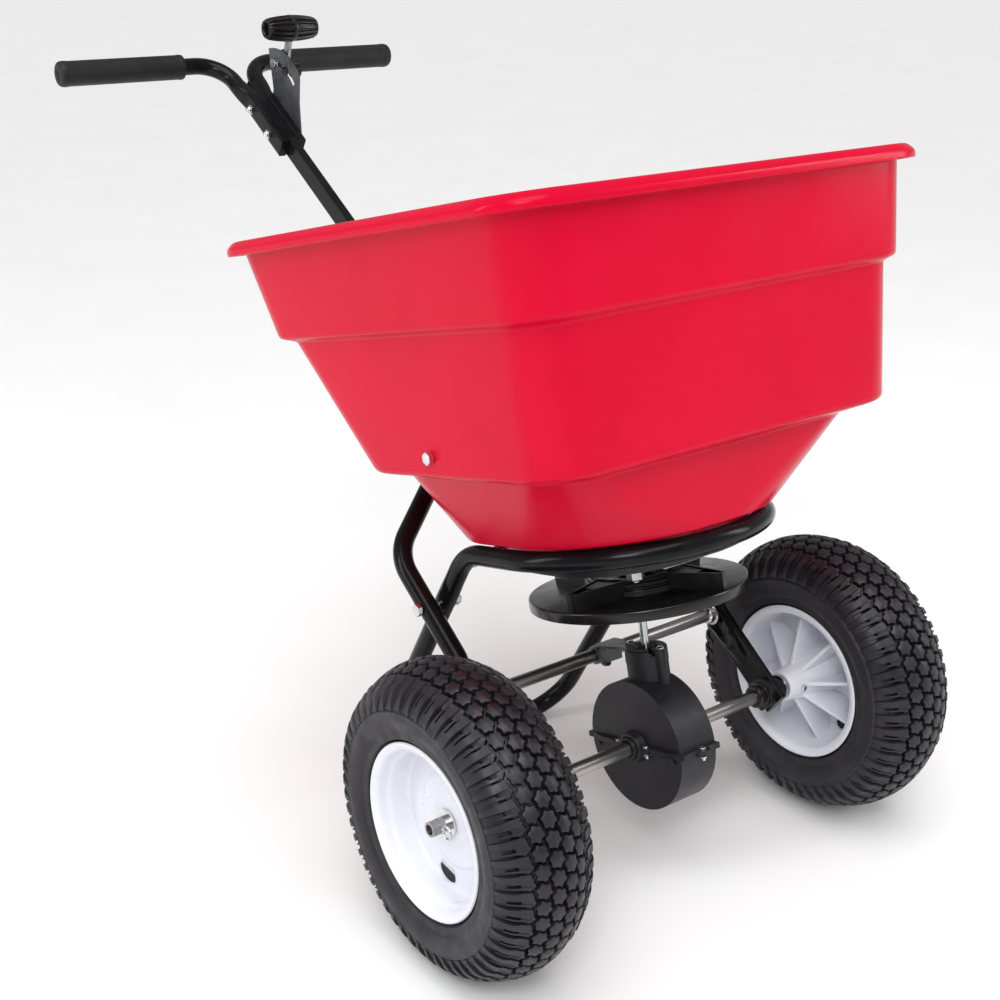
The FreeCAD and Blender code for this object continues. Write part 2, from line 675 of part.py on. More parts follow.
def from_pivot(along, across, angle):
    """Sketch coordinates of a point on an arm that leaves the pivot at an angle."""
    run, side = f"({along})", f"({across})"
    return (f"-({run} * cos(({angle}) * 1 deg) - {side} * sin(({angle}) * 1 deg))",
            f"pivot_bolt + {run} * sin(({angle}) * 1 deg) + {side} * cos(({angle}) * 1 deg)")


def make_lever():
    """A flat bell crank: the long arm to the knob, the short one to the control rod."""
    body = start_body("gate_lever", HANDLE)
    half = "lever_width / 2"
    lean = "lever_lean"
    back = "180 - crank_back"
    outline = [from_pivot("lever_long + lever_tip", half, lean),
               from_pivot("lever_long + lever_tip", f"-{half}", lean),
               from_pivot("0", f"-{half}", lean), from_pivot("0", half, back),
               from_pivot("crank_long", half, back),
               from_pivot("crank_long + 6", "0", back),
               from_pivot("crank_long", f"-{half}", back),
               ("0", "pivot_bolt + lever_width / 2 + 0.2")]
    pad(body, draw(body, "YZ_Plane", [outline], offset="lever_side"), "lever_thick")
    drill(body, draw(body, "YZ_Plane", circles=[(0, "pivot_bolt", "bolt_radius + run_gap")]))
    pin = draw(body, "YZ_Plane", offset="lever_side + lever_thick - 1",
               circles=[from_pivot("crank_long", "0", back) + ("link_radius",)])
    pad(body, pin, "9")


def turn_about_line(body, sketch, up):
    """Revolve a sketch about the level line at a height."""
    number = sketch.addGeometry(Part.LineSegment(Vector(-10, value(up), 0),
                                                 Vector(10, value(up), 0)), True)
    for end, place in ((1, -10), (2, 10)):
        sketch.addConstraint(Sketcher.Constraint("DistanceX", -1, 1, number, end, place))
        height = sketch.addConstraint(Sketcher.Constraint(
            "DistanceY", -1, 1, number, end, value(up)))
        bind(sketch, f"Constraints[{height}]", up)
    return revolve(body, sketch, "Axis0")


def make_lever_knob():
    """A barrel across the top of the lever, slotted for it."""
    body = start_body("lever_knob", HANDLE)
    middle = "(lever_side + lever_thick / 2)"
    up = "(pivot_bolt + lever_long * sin(lever_lean * 1 deg))"
    loop = [(f"{middle} - knob_length / 2", up),
            (f"{middle} - knob_length / 2", f"{up} + knob_radius * 0.7"),
            (f"{middle} - 3", f"{up} + knob_radius"),
            (f"{middle} + 3", f"{up} + knob_radius"),
            (f"{middle} + knob_length / 2", f"{up} + knob_radius * 0.7"),
            (f"{middle} + knob_length / 2", up)]
    sketch = draw(body, "XZ_Plane", [loop], offset="lever_long * cos(lever_lean * 1 deg)")
    turn_about_line(body, sketch, up)
    half = "lever_width / 2 + run_gap"
    slot = draw(body, "YZ_Plane", offset="lever_side - run_gap", loops=[[
        from_pivot("lever_long + lever_tip + run_gap", half, "lever_lean"),
        from_pivot("lever_long + lever_tip + run_gap", f"-({half})", "lever_lean"),
        from_pivot("lever_long - 30", f"-({half})", "lever_lean"),
        from_pivot("lever_long - 30", half, "lever_lean")]])
    sink(body, slot, "lever_thick + 2 * run_gap")


def sink(body, sketch, depth):
    """A pocket of one depth along the sketch's normal; it must take material away."""
    doc.recompute()
    before = body.Shape.Volume
    made = body.newObject("PartDesign::Pocket", "socket")
    made.Profile = sketch
    bind(made, "Length", depth)
    made.Reversed = True
    doc.recompute()
    if body.Shape.Volume >= before - 1e-3:
        raise RuntimeError(f"the socket in {body.Label} cuts nothing")
    return made


def make_rate_stop():
    """The thumbscrew that is set along the gauge's slot to limit the lever."""
    across, up = round_the_pivot("stop_angle", "slot_arc")
    outer = "post_thick / 2 + bar_thick + plate_gap"
    shank = cylinder("slot_half - 0.4", "20", (f"{outer} - 0.4", across, up), "X")
    head = cylinder("5.5", "1.8", (f"{outer} - 2.2", across, up), "X")
    sleeve = cylinder("4", "lever_thick + 2.2",
                      (f"{outer} + gauge_thick + plate_gap", across, up), "X")
    knob = cylinder("stop_radius", "11", ("lever_side + lever_thick + 1", across, up), "X")
    keep(fuse(shank, head, sleeve, knob), "rate_stop", HANDLE)


def make_gauge_screw():
    """A button-headed screw and its thin nut at the closed end of the slot."""
    across, up = round_the_pivot(34, "slot_arc")
    outer = "post_thick / 2 + bar_thick + plate_gap"
    shank = cylinder("slot_half - 0.4", "gauge_thick + 1.2", (f"{outer} - 0.4", across, up), "X")
    head = cylinder("6", "2.4", (f"{outer} - 2.4 - plate_gap", across, up), "X")
    nut = cylinder("5", "1.2", (f"{outer} + gauge_thick + plate_gap", across, up), "X")
    keep(fuse(shank, head, nut), "gauge_screw", HANDLE)


def make_control_rod():
    """The rod from the lever's short arm to the gate, with an eye above and a pin below."""
    pin_across, pin_up = from_pivot("crank_long", "0", "180 - crank_back")
    eye = cylinder("link_eye + 3.6", "3.6", ("link_side - 1.8", pin_across, pin_up), "X")
    hole = cylinder("link_eye", "12", ("link_side - 6", pin_across, pin_up), "X")
    bar = cylinder("link_radius", f"{pin_up} - link_foot - link_eye - 1",
                   ("link_side", pin_across, "link_foot"))
    pin = cylinder("2.5", "11", ("link_side - 0.5", pin_across, "link_foot"), "X")
    elbow = ball("link_radius", ("link_side", pin_across, "link_foot"))
    keep(fuse(cut(eye, hole), bar, elbow, pin), "control_rod", HANDLE)


# ---- hopper and gate ---------------------------------------------------------------------

def section_sketch(height, half, front, rear, front_corner, rear_corner):
    """A rounded rectangle standing at one height of the hopper."""
    sketch = doc.addObject("Sketcher::SketchObject", "section")
    loop = [(-half + front_corner, -front), (half - front_corner, -front, front_corner),
            (half, -front + front_corner), (half, rear - rear_corner, rear_corner),
            (half - rear_corner, rear), (-half + rear_corner, rear, rear_corner),
            (-half, rear - rear_corner), (-half, -front + front_corner, front_corner)]
    draw_loop(sketch, [tuple(str(part) for part in point) for point in loop])
    sketch.Placement = Placement(Vector(0, 0, height), Rotation())
    return sketch


def shrunk(section, thick):
    """The same section, pulled in by a wall's thickness."""
    return [size - thick for size in section]


def loft(sections):
    made = doc.addObject("Part::Loft", "skin")
    made.Sections = sections
    made.Solid = True
    made.Ruled = True
    return made


def make_hopper():
    """An open tub in three tiers, narrowing to a round floor, with a rolled rim."""
    thick = value("wall")
    outer = loft([section_sketch(*section) for section in HOPPER_SECTIONS])
    inner_sections = []
    for height, *section in HOPPER_SECTIONS:
        raised = height + (thick if height < value("tie_height") else 0)
        inner_sections.append(section_sketch(raised, *shrunk(section, thick)))
    inner_sections.append(section_sketch(value("rim_top") + 1,
                                         *shrunk(HOPPER_SECTIONS[-1][1:], thick)))
    inner = loft(inner_sections)
    rim = doc.addObject("Part::Extrusion", "rim")
    rim.Base = section_sketch(*RIM_SECTION)
    rim.Dir = Vector(0, 0, 1)
    bind(rim, "LengthFwd", f"rim_top - {RIM_SECTION[0]}")
    rim.Solid = True
    holes = [cylinder("shaft_hole", 30, (0, 0, "hopper_floor - 5"))]
    holes += outlet_holes("hopper_floor - 5", "wall + 10")
    holes.append(cylinder("tie_radius + run_gap", 600, (-300, "tie_back", "tie_height"), "X"))
    holes += [cylinder("screw_radius + run_gap", 20, (*place, "hopper_floor - 5"))
              for place in base_screw_places()]
    keep(cut(fuse(outer, rim), inner, *holes), "hopper")


def outlet_holes(start, length):
    """The three outlets in the floor, in front of the shaft."""
    holes = []
    for turn in (-50, 0, 50):
        across = f"outlet_place * sin({turn} * 1 deg)"
        back = f"-outlet_place * cos({turn} * 1 deg)"
        holes.append(cylinder("outlet_radius", length, (across, back, start)))
    return holes


def base_screw_places():
    return [(f"{x} * screw_place", f"{y} * screw_place + screw_shift")
            for x in (-1, 1) for y in (-1, 1)]


def make_tie_rod():
    """The rod that holds the hopper's sides together, with a hexagon head at each end."""
    rod = cylinder("tie_radius", "2 * tie_half", ("-tie_half", "tie_back", "tie_height"), "X")
    heads = [hexagon("tie_across", "tie_head", (start, "tie_back", "tie_height"), "X")
             for start in ("tie_half - 4", "-tie_half - tie_head + 4")]
    keep(fuse(rod, *heads), "hopper_tie_rod")


def make_base_plate():
    """The steel plate under the hopper's floor: it carries the gate and steadies the shaft."""
    disc = cylinder("base_radius", "base_thick", (0, "base_back", "base_under"))
    square = box(("2 * base_radius", "2 * base_radius", "base_thick + 2"),
                 ("-base_radius", "base_back + 84", "base_under - 1"))
    holes = [cylinder("shaft_radius + run_gap", 10, (0, 0, "base_under - 3"))]
    holes += outlet_holes("base_under - 3", 10)
    holes += [cylinder("screw_radius + run_gap", 10, (*place, "base_under - 3"))
              for place in base_screw_places()]
    tab = ("hoop_radius - base_radius + 4", "2 * tab_half", "base_thick")
    tabs = [box(tab, (start, "base_back - tab_half", "base_under"))
            for start in ("base_radius - 8", "-hoop_radius + 4")]
    ends = [cylinder("tube_radius + run_gap", 60, (place, "base_back - 30", "hoop_height"), "Y")
            for place in ("hoop_radius", "-hoop_radius")]
    keep(cut(fuse(disc, *tabs), square, *holes, *ends), "base_plate")


def make_base_screws():
    """The screws that hold the hopper's floor to the base plate."""
    screws = []
    for across, back in base_screw_places():
        screws.append(fuse(
            cylinder("screw_radius", "wall + base_thick + 6",
                     (across, back, "base_under - 4.4")),
            cylinder("5", "2", (across, back, "hopper_floor + wall + run_gap")),
            hexagon("8", "4", (across, back, "base_under - 4 - run_gap"))))
    keep(together(*screws), "base_screws")


def make_gate():
    """The sliding shut-off plate, with a slot round the shaft and a slotted tab behind."""
    under = "gate_top - gate_thick"
    plate = box(("2 * gate_half", "gate_front + 128", "gate_thick"),
                ("-gate_half", "-gate_front", under))
    tail = box(("26", "gate_rear - 126", "gate_thick"), ("14", "126", under))
    tab = box(("4", "30", "28"), ("link_side + 4", "gate_rear - 30", under))
    slot = fuse(cylinder("shaft_radius + 1.5", 12, (0, 0, f"{under} - 4")),
                box(("2 * shaft_radius + 3", "gate_travel + 1", 12),
                    ("-shaft_radius - 1.5", "0", f"{under} - 4")),
                cylinder("shaft_radius + 1.5", 12, (0, "gate_travel + 1", f"{under} - 4")))
    pin_back = ("(post_foot_y + link_foot * sin(post_angle * 1 deg)"
                " + crank_long * cos(crank_back * 1 deg) * cos(post_angle * 1 deg))")
    pin_up = ("(post_foot_z + link_foot * cos(post_angle * 1 deg)"
              " - crank_long * cos(crank_back * 1 deg) * sin(post_angle * 1 deg))")
    pin_slot = box((20, "5.4", "16"), ("link_side", f"{pin_back} - 2.7", f"{pin_up} - 13"))
    keep(cut(fuse(plate, tail, tab), slot, pin_slot, *outlet_holes(f"{under} - 4", 12)),
         "gate_plate")


def make_guides():
    """The two folded strips that hold the gate up against the base plate."""
    strips = []
    for side in (-1, 1):
        start = "gate_half + slide_gap" if side > 0 else "-gate_half - slide_gap - guide_wide"
        lip = "gate_half - 5" if side > 0 else "-gate_half - slide_gap - guide_wide"
        under = "gate_top - gate_thick - slide_gap"
        strips.append(fuse(
            box(("guide_wide", "150", f"base_under - snug_gap - ({under})"), (start, -70, under)),
            box(("guide_wide + 5.3", "150", "2"), (lip, -70, f"{under} - 2"))))
    keep(together(*strips), "gate_guides")


# ---- gearbox and spinner -----------------------------------------------------------------

def case_solid():
    """The whole gearbox case before it is split at the axle."""
    span = "case_right - case_left"
    outer = cylinder("case_radius", span, ("case_left", 0, 0), "X")
    inner = cylinder("case_radius - case_wall", f"{span} - 2 * case_wall",
                     ("case_left + case_wall", 0, 0), "X")
    boss = cylinder("boss_radius", f"{span} + 2 * boss_reach",
                    ("case_left - boss_reach", 0, 0), "X")
    boss_lugs = box((f"{span} + 2 * boss_reach", "2 * lug_place + 10", "2 * flange_half"),
                    ("case_left - boss_reach", "-lug_place - 5", "-flange_half"))
    flange = box((f"{span} + 2", "2 * ear_place", "2 * flange_half"),
                 ("case_left - 1", "-ear_place", "-flange_half"))
    ears = [cylinder("ear_radius", "2 * flange_half",
                     ("(case_left + case_right) / 2", place, "-flange_half"))
            for place in ("ear_place", "-ear_place")]
    collar = cylinder("collar_radius", "collar_top - 50", (0, 0, 50))
    lugs = [cylinder("lug_radius", "collar_top - 60", (0, place, 60))
            for place in ("lug_place", "-lug_place")]
    bearing = cylinder("shaft_radius + 4.5", "20", (0, 0, "case_radius - case_wall - 10"))
    solid = outer
    for lump in (boss, boss_lugs, flange, *ears, collar, *lugs):
        solid = fuse(solid, lump)
    shell = cut(solid, inner)
    axle = cylinder("axle_radius + run_gap", 200, (-100, 0, 0), "X")
    shaft = cylinder("shaft_radius + run_gap", 120, (0, 0, 20))
    recess = cylinder("10", "10", (0, 0, "collar_top - 7"))
    screws = [cylinder("screw_radius + run_gap", "40", (across, back, -20))
              for across, back in case_screw_places()]
    top_screws = [cylinder("screw_radius + run_gap", "24", (0, place, "collar_top - 16"))
                  for place in ("lug_place", "-lug_place")]
    return cut(fuse(shell, bearing), axle, shaft, recess, *screws, *top_screws)


def case_screw_places():
    middle = "(case_left + case_right) / 2"
    places = [(middle, "ear_place + 1"), (middle, "-ear_place - 1")]
    for end in ("case_left - boss_reach / 2", "case_right + boss_reach / 2"):
        places += [(end, "lug_place - 2"), (end, "-lug_place + 2")]
    return places


def make_gearbox():
    whole = case_solid()
    upper = box((200, 200, 150), (-100, -100, "run_gap"))
    lower = box((200, 200, 150), (-100, -100, "-150 - run_gap"))
    keep(common(whole, upper), "gearbox_upper")
    keep(common(whole, lower), "gearbox_lower")
    screws = []
    for across, back in case_screw_places():
        screws.append(fuse(
            cylinder("screw_radius", "2 * flange_half + 6", (across, back, "-flange_half - 6")),
            cylinder("screw_head", "2.4", (across, back, "flange_half + run_gap")),
            hexagon("6.6", "3", (across, back, "-flange_half - 3 - run_gap"))))
    keep(together(*screws), "gearbox_screws")


def make_bracket():
    """The stamped strap from the gearbox collar to the cross rod, with its screws."""
    depth, height = along_rail("rod_along")
    under = "collar_top + run_gap"
    strap = box(("2 * bracket_half", f"{depth} + lug_place + 8", "bracket_thick"),
                ("-bracket_half", "-lug_place - 8", under))
    window = cylinder("12", 10, (0, 0, f"{under} - 2"))
    loop = cylinder("rod_radius + 3 + run_gap", "2 * bracket_half",
                    ("-bracket_half", depth, height), "X")
    bore = cylinder("rod_radius + run_gap", "2 * bracket_half + 2",
                    ("-bracket_half - 1", depth, height), "X")
    holes = [cylinder("screw_radius + run_gap", 10, (0, place, f"{under} - 2"))
             for place in ("lug_place", "-lug_place")]
    keep(cut(fuse(strap, loop), window, bore, *holes), "gearbox_bracket")
    screws = [fuse(cylinder("screw_radius", "15", (0, place, f"{under} - 12 + bracket_thick")),
                   cylinder("screw_head", "2.6", (0, place, f"{under} + bracket_thick + run_gap")))
              for place in ("lug_place", "-lug_place")]
    keep(together(*screws), "bracket_screws")


def bevel_teeth(count, mate, outer, width, pitch_radius):
    """Straight teeth on a pitch cone whose point is the origin, about +Z, with the outer and
    inner corners of the blank that carries them."""
    module = 2 * pitch_radius / count
    cone = math.atan2(count, mate)
    cone_long = pitch_radius / math.sin(cone)
    inner_scale = (cone_long - width) / cone_long
    pitch_half = math.pi * pitch_radius / count * 0.30
    above, below = 0.55 * module, 1.05 * module
    flare = math.tan(math.radians(24))
    teeth = []
    along = Vector(math.sin(cone), 0, math.cos(cone))
    outward = Vector(math.cos(cone), 0, -math.sin(cone))
    for index in range(count):
        turn = Rotation(Vector(0, 0, 1), outer + 360.0 * index / count)
        corners = []
        for rise, side in ((above, 1), (above, -1), (-below, -1), (-below, 1)):
            half = pitch_half - rise * flare
            corners.append(along * cone_long + outward * rise + Vector(0, side * half, 0))
        far = [turn.multVec(corner) for corner in corners]
        near = [corner * inner_scale for corner in far]
        rings = [Part.makePolygon(ring + ring[:1]) for ring in (near, far)]
        teeth.append(Part.makeLoft(rings, True, True))
    rim = along * cone_long - outward * (below - 0.25)
    return teeth, rim, rim * inner_scale


def make_gears():
    """The crown gear on the axle and the pinion on the shaft, meshed with backlash."""
    gear_count, pinion_count = int(value("gear_teeth")), int(value("pinion_teeth"))
    gear_radius = value("gear_radius")
    pinion_radius = gear_radius * pinion_count / gear_count
    width = value("face_width")

    teeth, rim, toe = bevel_teeth(pinion_count, gear_count, 180, width, pinion_radius)
    bore = value("shaft_radius + snug_gap")
    outline = [Vector(bore, 0, toe.z), Vector(toe.x, 0, toe.z), Vector(rim.x, 0, rim.z),
               Vector(rim.x, 0, rim.z + 2), Vector(bore, 0, rim.z + 2)]
    blank = Part.Face(Part.makePolygon(outline + outline[:1])).revolve(
        Vector(), Vector(0, 0, 1), 360)
    keep(feature(blank.multiFuse(teeth)), "pinion")

    half_tooth = 180.0 / gear_count
    teeth, rim, toe = bevel_teeth(gear_count, pinion_count, half_tooth, width, gear_radius)
    bore = value("axle_radius + snug_gap")
    back = rim.z + 9
    outline = [Vector(bore, 0, toe.z + 2), Vector(toe.x - 2, 0, toe.z + 2),
               Vector(toe.x, 0, toe.z),
               Vector(rim.x, 0, rim.z), Vector(rim.x, 0, back - 4), Vector(22, 0, back - 4),
               Vector(15, 0, back), Vector(bore, 0, back)]
    blank = Part.Face(Part.makePolygon(outline + outline[:1])).revolve(
        Vector(), Vector(0, 0, 1), 360)
    keep(feature(blank.multiFuse(teeth)), "crown_gear", CROWN)


def make_spinner_shaft():
    rod = cylinder("shaft_radius", "shaft_top - shaft_foot", (0, 0, "shaft_foot"))
    hole = cylinder("roll_pin_radius + snug_gap", 40, (-20, 0, "disc_top - roll_pin_drop"), "X")
    keep(cut(rod, hole), "spinner_shaft", SPINNER)


def make_impeller():
    """A disc with a turned-down lip, a stepped drum in the middle and radial vanes."""
    body = start_body("impeller", SPINNER)
    bore = "shaft_radius + snug_gap"
    under = "disc_top - disc_thick"
    loop = [(bore, "disc_top - 21"), ("13", "disc_top - 21"), ("15", under),
            ("disc_radius - disc_thick", under),
            ("disc_radius - disc_thick", "disc_top - disc_lip"),
            ("disc_radius", "disc_top - disc_lip"), ("disc_radius", "disc_top"),
            ("drum_radius", "disc_top"), ("drum_radius", "disc_top + 9"),
            ("drum_radius - 4", "disc_top + 9"), ("drum_radius - 5", "vane_top - 1"),
            ("drum_radius - 8", "vane_top"), ("22", "vane_top - 5"), ("12", "vane_top"),
            (bore, "vane_top")]
    revolve(body, draw(body, "XZ_Plane", [loop]), "V_Axis")
    blade = [("vane_start - 4", "disc_top - 1"), ("vane_end", "disc_top - 1"),
             ("vane_end", "vane_top - 2"), ("vane_end - 4", "vane_top"),
             ("vane_start - 4", "vane_top - 2")]
    vane = pad(body, draw(body, "XZ_Plane", [blade]), "vane_thick", middle=True)
    ring_of(body, [vane], "Z_Axis", "vane_count")
    drill(body, draw(body, "YZ_Plane", circles=[
        (0, "disc_top - roll_pin_drop", "roll_pin_radius + snug_gap")]))


def make_agitator():
    """A crossed wire pin above the hopper's floor that keeps the material moving."""
    hub = cylinder("9", "14", (0, 0, "hopper_floor + wall + 6"))
    arm = cylinder("2.5", "90", (-45, 0, "hopper_floor + wall + 13"), "X")
    tips = [cylinder("2.5", "22", (place, 0, "hopper_floor + wall + 13")) for place in (45, -45)]
    bore = cylinder("shaft_radius + snug_gap", 60, (0, 0, "hopper_floor"))
    keep(cut(fuse(hub, arm, *tips), bore), "agitator", SPINNER)


def make_impeller_pin():
    """The roll pin through the impeller's hub and the shaft."""
    keep(together(cylinder("roll_pin_radius", "30", (-15, 0, "disc_top - roll_pin_drop"), "X")),
         "impeller_pin", SPINNER)


# ---- axle and wheels ---------------------------------------------------------------------

def make_axle():
    rod = cylinder("axle_radius", "2 * axle_half", ("-axle_half", 0, 0), "X")
    bore = cylinder("axle_bore", "2 * axle_half + 2", ("-axle_half - 1", 0, 0), "X")
    holes = [cylinder("pin_radius + snug_gap", 40, ("drive_pin_place", 0, -20)),
             cylinder("hair_pin_radius + run_gap", 40, ("hair_pin_place", 0, -20)),
             cylinder("hair_pin_radius + run_gap", 40, ("-hair_pin_place", 0, -20))]
    keep(cut(rod, bore, *holes), "axle")


def make_wheel(side, frame):
    """One pneumatic wheel in its own frame: +X outwards, the mid-plane at the origin."""
    name = "drive" if side > 0 else "free"
    bore = "axle_radius + run_gap" if side < 0 else "axle_radius + snug_gap"
    body = doc.addObject("PartDesign::Body", "wheel")
    barrel = "bead_radius - plate_gap"
    loop = [("-hub_inner", bore), ("-hub_inner", "hub_radius - 3"), ("-24", "hub_radius + 5"),
            ("disc_inner", "hub_radius + 14"), ("disc_inner", f"{barrel} - rim_wall - 6"),
            ("disc_inner - 6", f"{barrel} - rim_wall"), ("-rim_half + 5", f"{barrel} - rim_wall"),
            ("-rim_half", "flange_radius - 2"), ("-rim_half + 3", "flange_radius"),
            ("-rim_half + 7", barrel), ("rim_half - 7", barrel), ("rim_half - 3", "flange_radius"),
            ("rim_half", "flange_radius - 2"), ("rim_half - 5", f"{barrel} - rim_wall"),
            ("disc_outer + 6", f"{barrel} - rim_wall"), ("disc_outer", f"{barrel} - rim_wall - 6"),
            ("disc_outer", "hub_radius + 12"), ("hub_outer", "hub_radius"), ("hub_outer", bore)]
    revolve(body, draw(body, "XZ_Plane", [loop]), "H_Axis")
    rib = [("-50", "hub_radius - 4"), ("disc_inner + 1", "hub_radius + 2"),
           ("disc_inner + 1", f"{barrel} - rim_wall - 1"), ("-16", f"{barrel} - rim_wall + 1"),
           ("-22", f"{barrel} - rim_wall + 1")]
    web = pad(body, draw(body, "XZ_Plane", [rib]), "rib_thick", middle=True)
    ring_of(body, [web], "X_Axis", "rib_count")
    drill(body, draw(body, "YZ_Plane", circles=[
        ("-valve_place * sin(valve_turn * 1 deg)", "-valve_place * cos(valve_turn * 1 deg)",
         "valve_hole")]))
    if side > 0:
        drill(body, draw(body, "XY_Plane", circles=[
            ("drive_pin_place - track_half", "0", "pin_radius + snug_gap")]))
    keep(cut(body, valve_stem("valve_radius + run_gap")), f"{name}_rim", frame)
    keep(together(valve_stem("valve_radius")), f"{name}_valve", frame)

    tyre = start_body(f"{name}_tyre", frame)
    crown, shoulder, side_wall = "wheel_radius", "wheel_radius - 16", "bead_radius + 16"
    inner_shoulder = f"{shoulder} - tyre_wall + 1"
    loop = [("-rim_half + 7.4", "bead_radius"), ("-rim_half + 3.4", "flange_radius + 0.4"),
            ("-rim_half + 1", "flange_radius + 2"),
            ("-tyre_half + 2", side_wall, "-31"), ("-tyre_half + 12", shoulder, "-58"),
            ("tyre_half - 12", shoulder, "-31"), ("tyre_half - 2", side_wall),
            ("rim_half - 1", "flange_radius + 2"), ("rim_half - 3.4", "flange_radius + 0.4"),
            ("rim_half - 7.4", "bead_radius"),
            ("rim_half - 15", "bead_radius"), ("tyre_half - 12", f"{side_wall} + 4", "27"),
            ("tyre_half - 19", inner_shoulder, "62"), ("-tyre_half + 19", inner_shoulder, "27"),
            ("-tyre_half + 12", f"{side_wall} + 4"), ("-rim_half + 15", "bead_radius")]
    revolve(tyre, draw(tyre, "XZ_Plane", [loop]), "H_Axis")


def valve_stem(radius):
    """A stem that points at the hub, through the barrel on the disc's outer side."""
    start = "bead_radius + 1 - valve_length"
    made = cylinder(radius, "valve_length", (0, 0, 0))
    return put(made, ("valve_side", f"-({start}) * sin(valve_turn * 1 deg)",
                      f"-({start}) * cos(valve_turn * 1 deg)"),
               Rotation(Vector(1, 0, 0), 180 - value("valve_turn")))


def make_drive_pin():
    keep(together(cylinder("pin_radius", "2 * hub_radius - 3",
                           ("drive_pin_place", 0, "-hub_radius + 1.5"))), "drive_pin")


def make_hair_pins():
    """The spring pins through the axle's two ends."""
    pins = []
    for place in ("hair_pin_place", "-hair_pin_place"):
        bar = cylinder("hair_pin_radius", "2 * axle_radius + 12", (place, 0, "-axle_radius - 5"))
        spring = doc.addObject("Part::Torus", "spring")
        bind(spring, "Radius1", "6.5")
        bind(spring, "Radius2", "hair_pin_radius")
        put(spring, (place, 0, "axle_radius + 6.5 + hair_pin_radius + 3"), TURN_TO["X"])
        pins.append(fuse(bar, spring))
    keep(together(*pins), "hair_pins")


def make_washers():
    """The washers between the wheels, the bearings and the pins."""
    washers = []
    for start, thick in (("bush_end + 0.2", "5.6"), ("track_half + hub_outer + 0.3", "2.5"),
                         ("-bush_end - 5.8", "5.6"), ("-track_half - hub_outer - 2.8", "2.5")):
        ring = cylinder("washer_radius", thick, (start, 0, 0), "X")
        hole = cylinder("axle_radius + snug_gap", "9", (f"{start} - 1.5", 0, 0), "X")
        washers.append(cut(ring, hole))
    keep(together(*washers), "axle_washers")


def main():
    make_stand_tube()
    make_crossbar()
    for side, name in ((-1, "left"), (1, "right")):
        make_side_rail(side, f"side_rail_{name}")
        make_axle_bush(side, f"axle_bush_{name}")
        make_handlebar(side, f"handlebar_{name}")
        make_grip(side, f"grip_{name}")
    make_cross_rod()
    make_clamp_bolts()
    make_post()
    make_rail_bolt()
    make_handle_bolts()
    make_gauge_plate()
    make_gauge_screw()
    make_rate_stop()
    make_lever()
    make_lever_knob()
    make_control_rod()
    make_hopper()
    make_tie_rod()
    make_base_plate()
    make_base_screws()
    make_gate()
    make_guides()
    make_gearbox()
    make_bracket()
    make_gears()
    make_spinner_shaft()
    make_impeller()
    make_agitator()
    make_impeller_pin()
    make_axle()
    make_wheel(1, DRIVE_WHEEL)
    make_wheel(-1, FREE_WHEEL)
    make_drive_pin()
    make_hair_pins()
    make_washers()
    doc.recompute()
    check_and_write()


def check_and_write():
    """Stop on any failed object or bad shape, then write one file for each node."""
    for item in doc.Objects:
        if "Invalid" in item.State or "Error" in item.State:
            raise RuntimeError(f"{item.Name} ({item.Label}) failed: {item.State}")
    os.makedirs("parts", exist_ok=True)
    for node in NODES:
        shape = node.Shape
        if shape.isNull() or not shape.isValid() or shape.Volume <= 0:
            raise RuntimeError(f"{node.Label} has no sound shape")
        shape.exportStep(f"parts/{node.Label}.step")
        print(f"{node.Label:20s} {shape.Volume / 1000:9.1f} cm3 in {len(shape.Solids)} solids")


main()
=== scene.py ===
"""A walk-behind broadcast spreader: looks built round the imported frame.

Lengths inside this script are in millimetres in three working frames, which the matrices
CHASSIS, HANDLE and WHEEL carry into the row frame:
  chassis - origin on the axle, +Z square to the hopper's rim
  handle  - origin at the foot of the post, +Z up the post
  wheel   - origin at a wheel's middle, +X outwards along the axle
"""
import json
import math

import bmesh
import bpy
from mathutils import Matrix, Vector

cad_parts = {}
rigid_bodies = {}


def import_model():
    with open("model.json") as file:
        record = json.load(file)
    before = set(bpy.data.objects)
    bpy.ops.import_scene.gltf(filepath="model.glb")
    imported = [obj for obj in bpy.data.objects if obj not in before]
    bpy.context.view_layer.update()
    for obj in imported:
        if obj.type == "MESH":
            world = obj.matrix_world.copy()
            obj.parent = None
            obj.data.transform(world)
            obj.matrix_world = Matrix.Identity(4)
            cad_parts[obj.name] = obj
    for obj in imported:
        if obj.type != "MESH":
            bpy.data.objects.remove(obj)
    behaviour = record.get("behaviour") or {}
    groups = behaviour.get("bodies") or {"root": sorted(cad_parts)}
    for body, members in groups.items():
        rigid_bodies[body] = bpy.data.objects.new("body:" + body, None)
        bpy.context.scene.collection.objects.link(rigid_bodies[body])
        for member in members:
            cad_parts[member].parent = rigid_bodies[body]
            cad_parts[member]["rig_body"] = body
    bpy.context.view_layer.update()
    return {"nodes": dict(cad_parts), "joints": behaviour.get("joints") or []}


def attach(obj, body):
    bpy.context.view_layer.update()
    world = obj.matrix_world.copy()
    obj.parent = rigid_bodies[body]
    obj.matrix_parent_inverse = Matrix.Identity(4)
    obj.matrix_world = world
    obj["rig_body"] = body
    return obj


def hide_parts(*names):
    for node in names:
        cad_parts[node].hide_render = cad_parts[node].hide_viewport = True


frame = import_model()

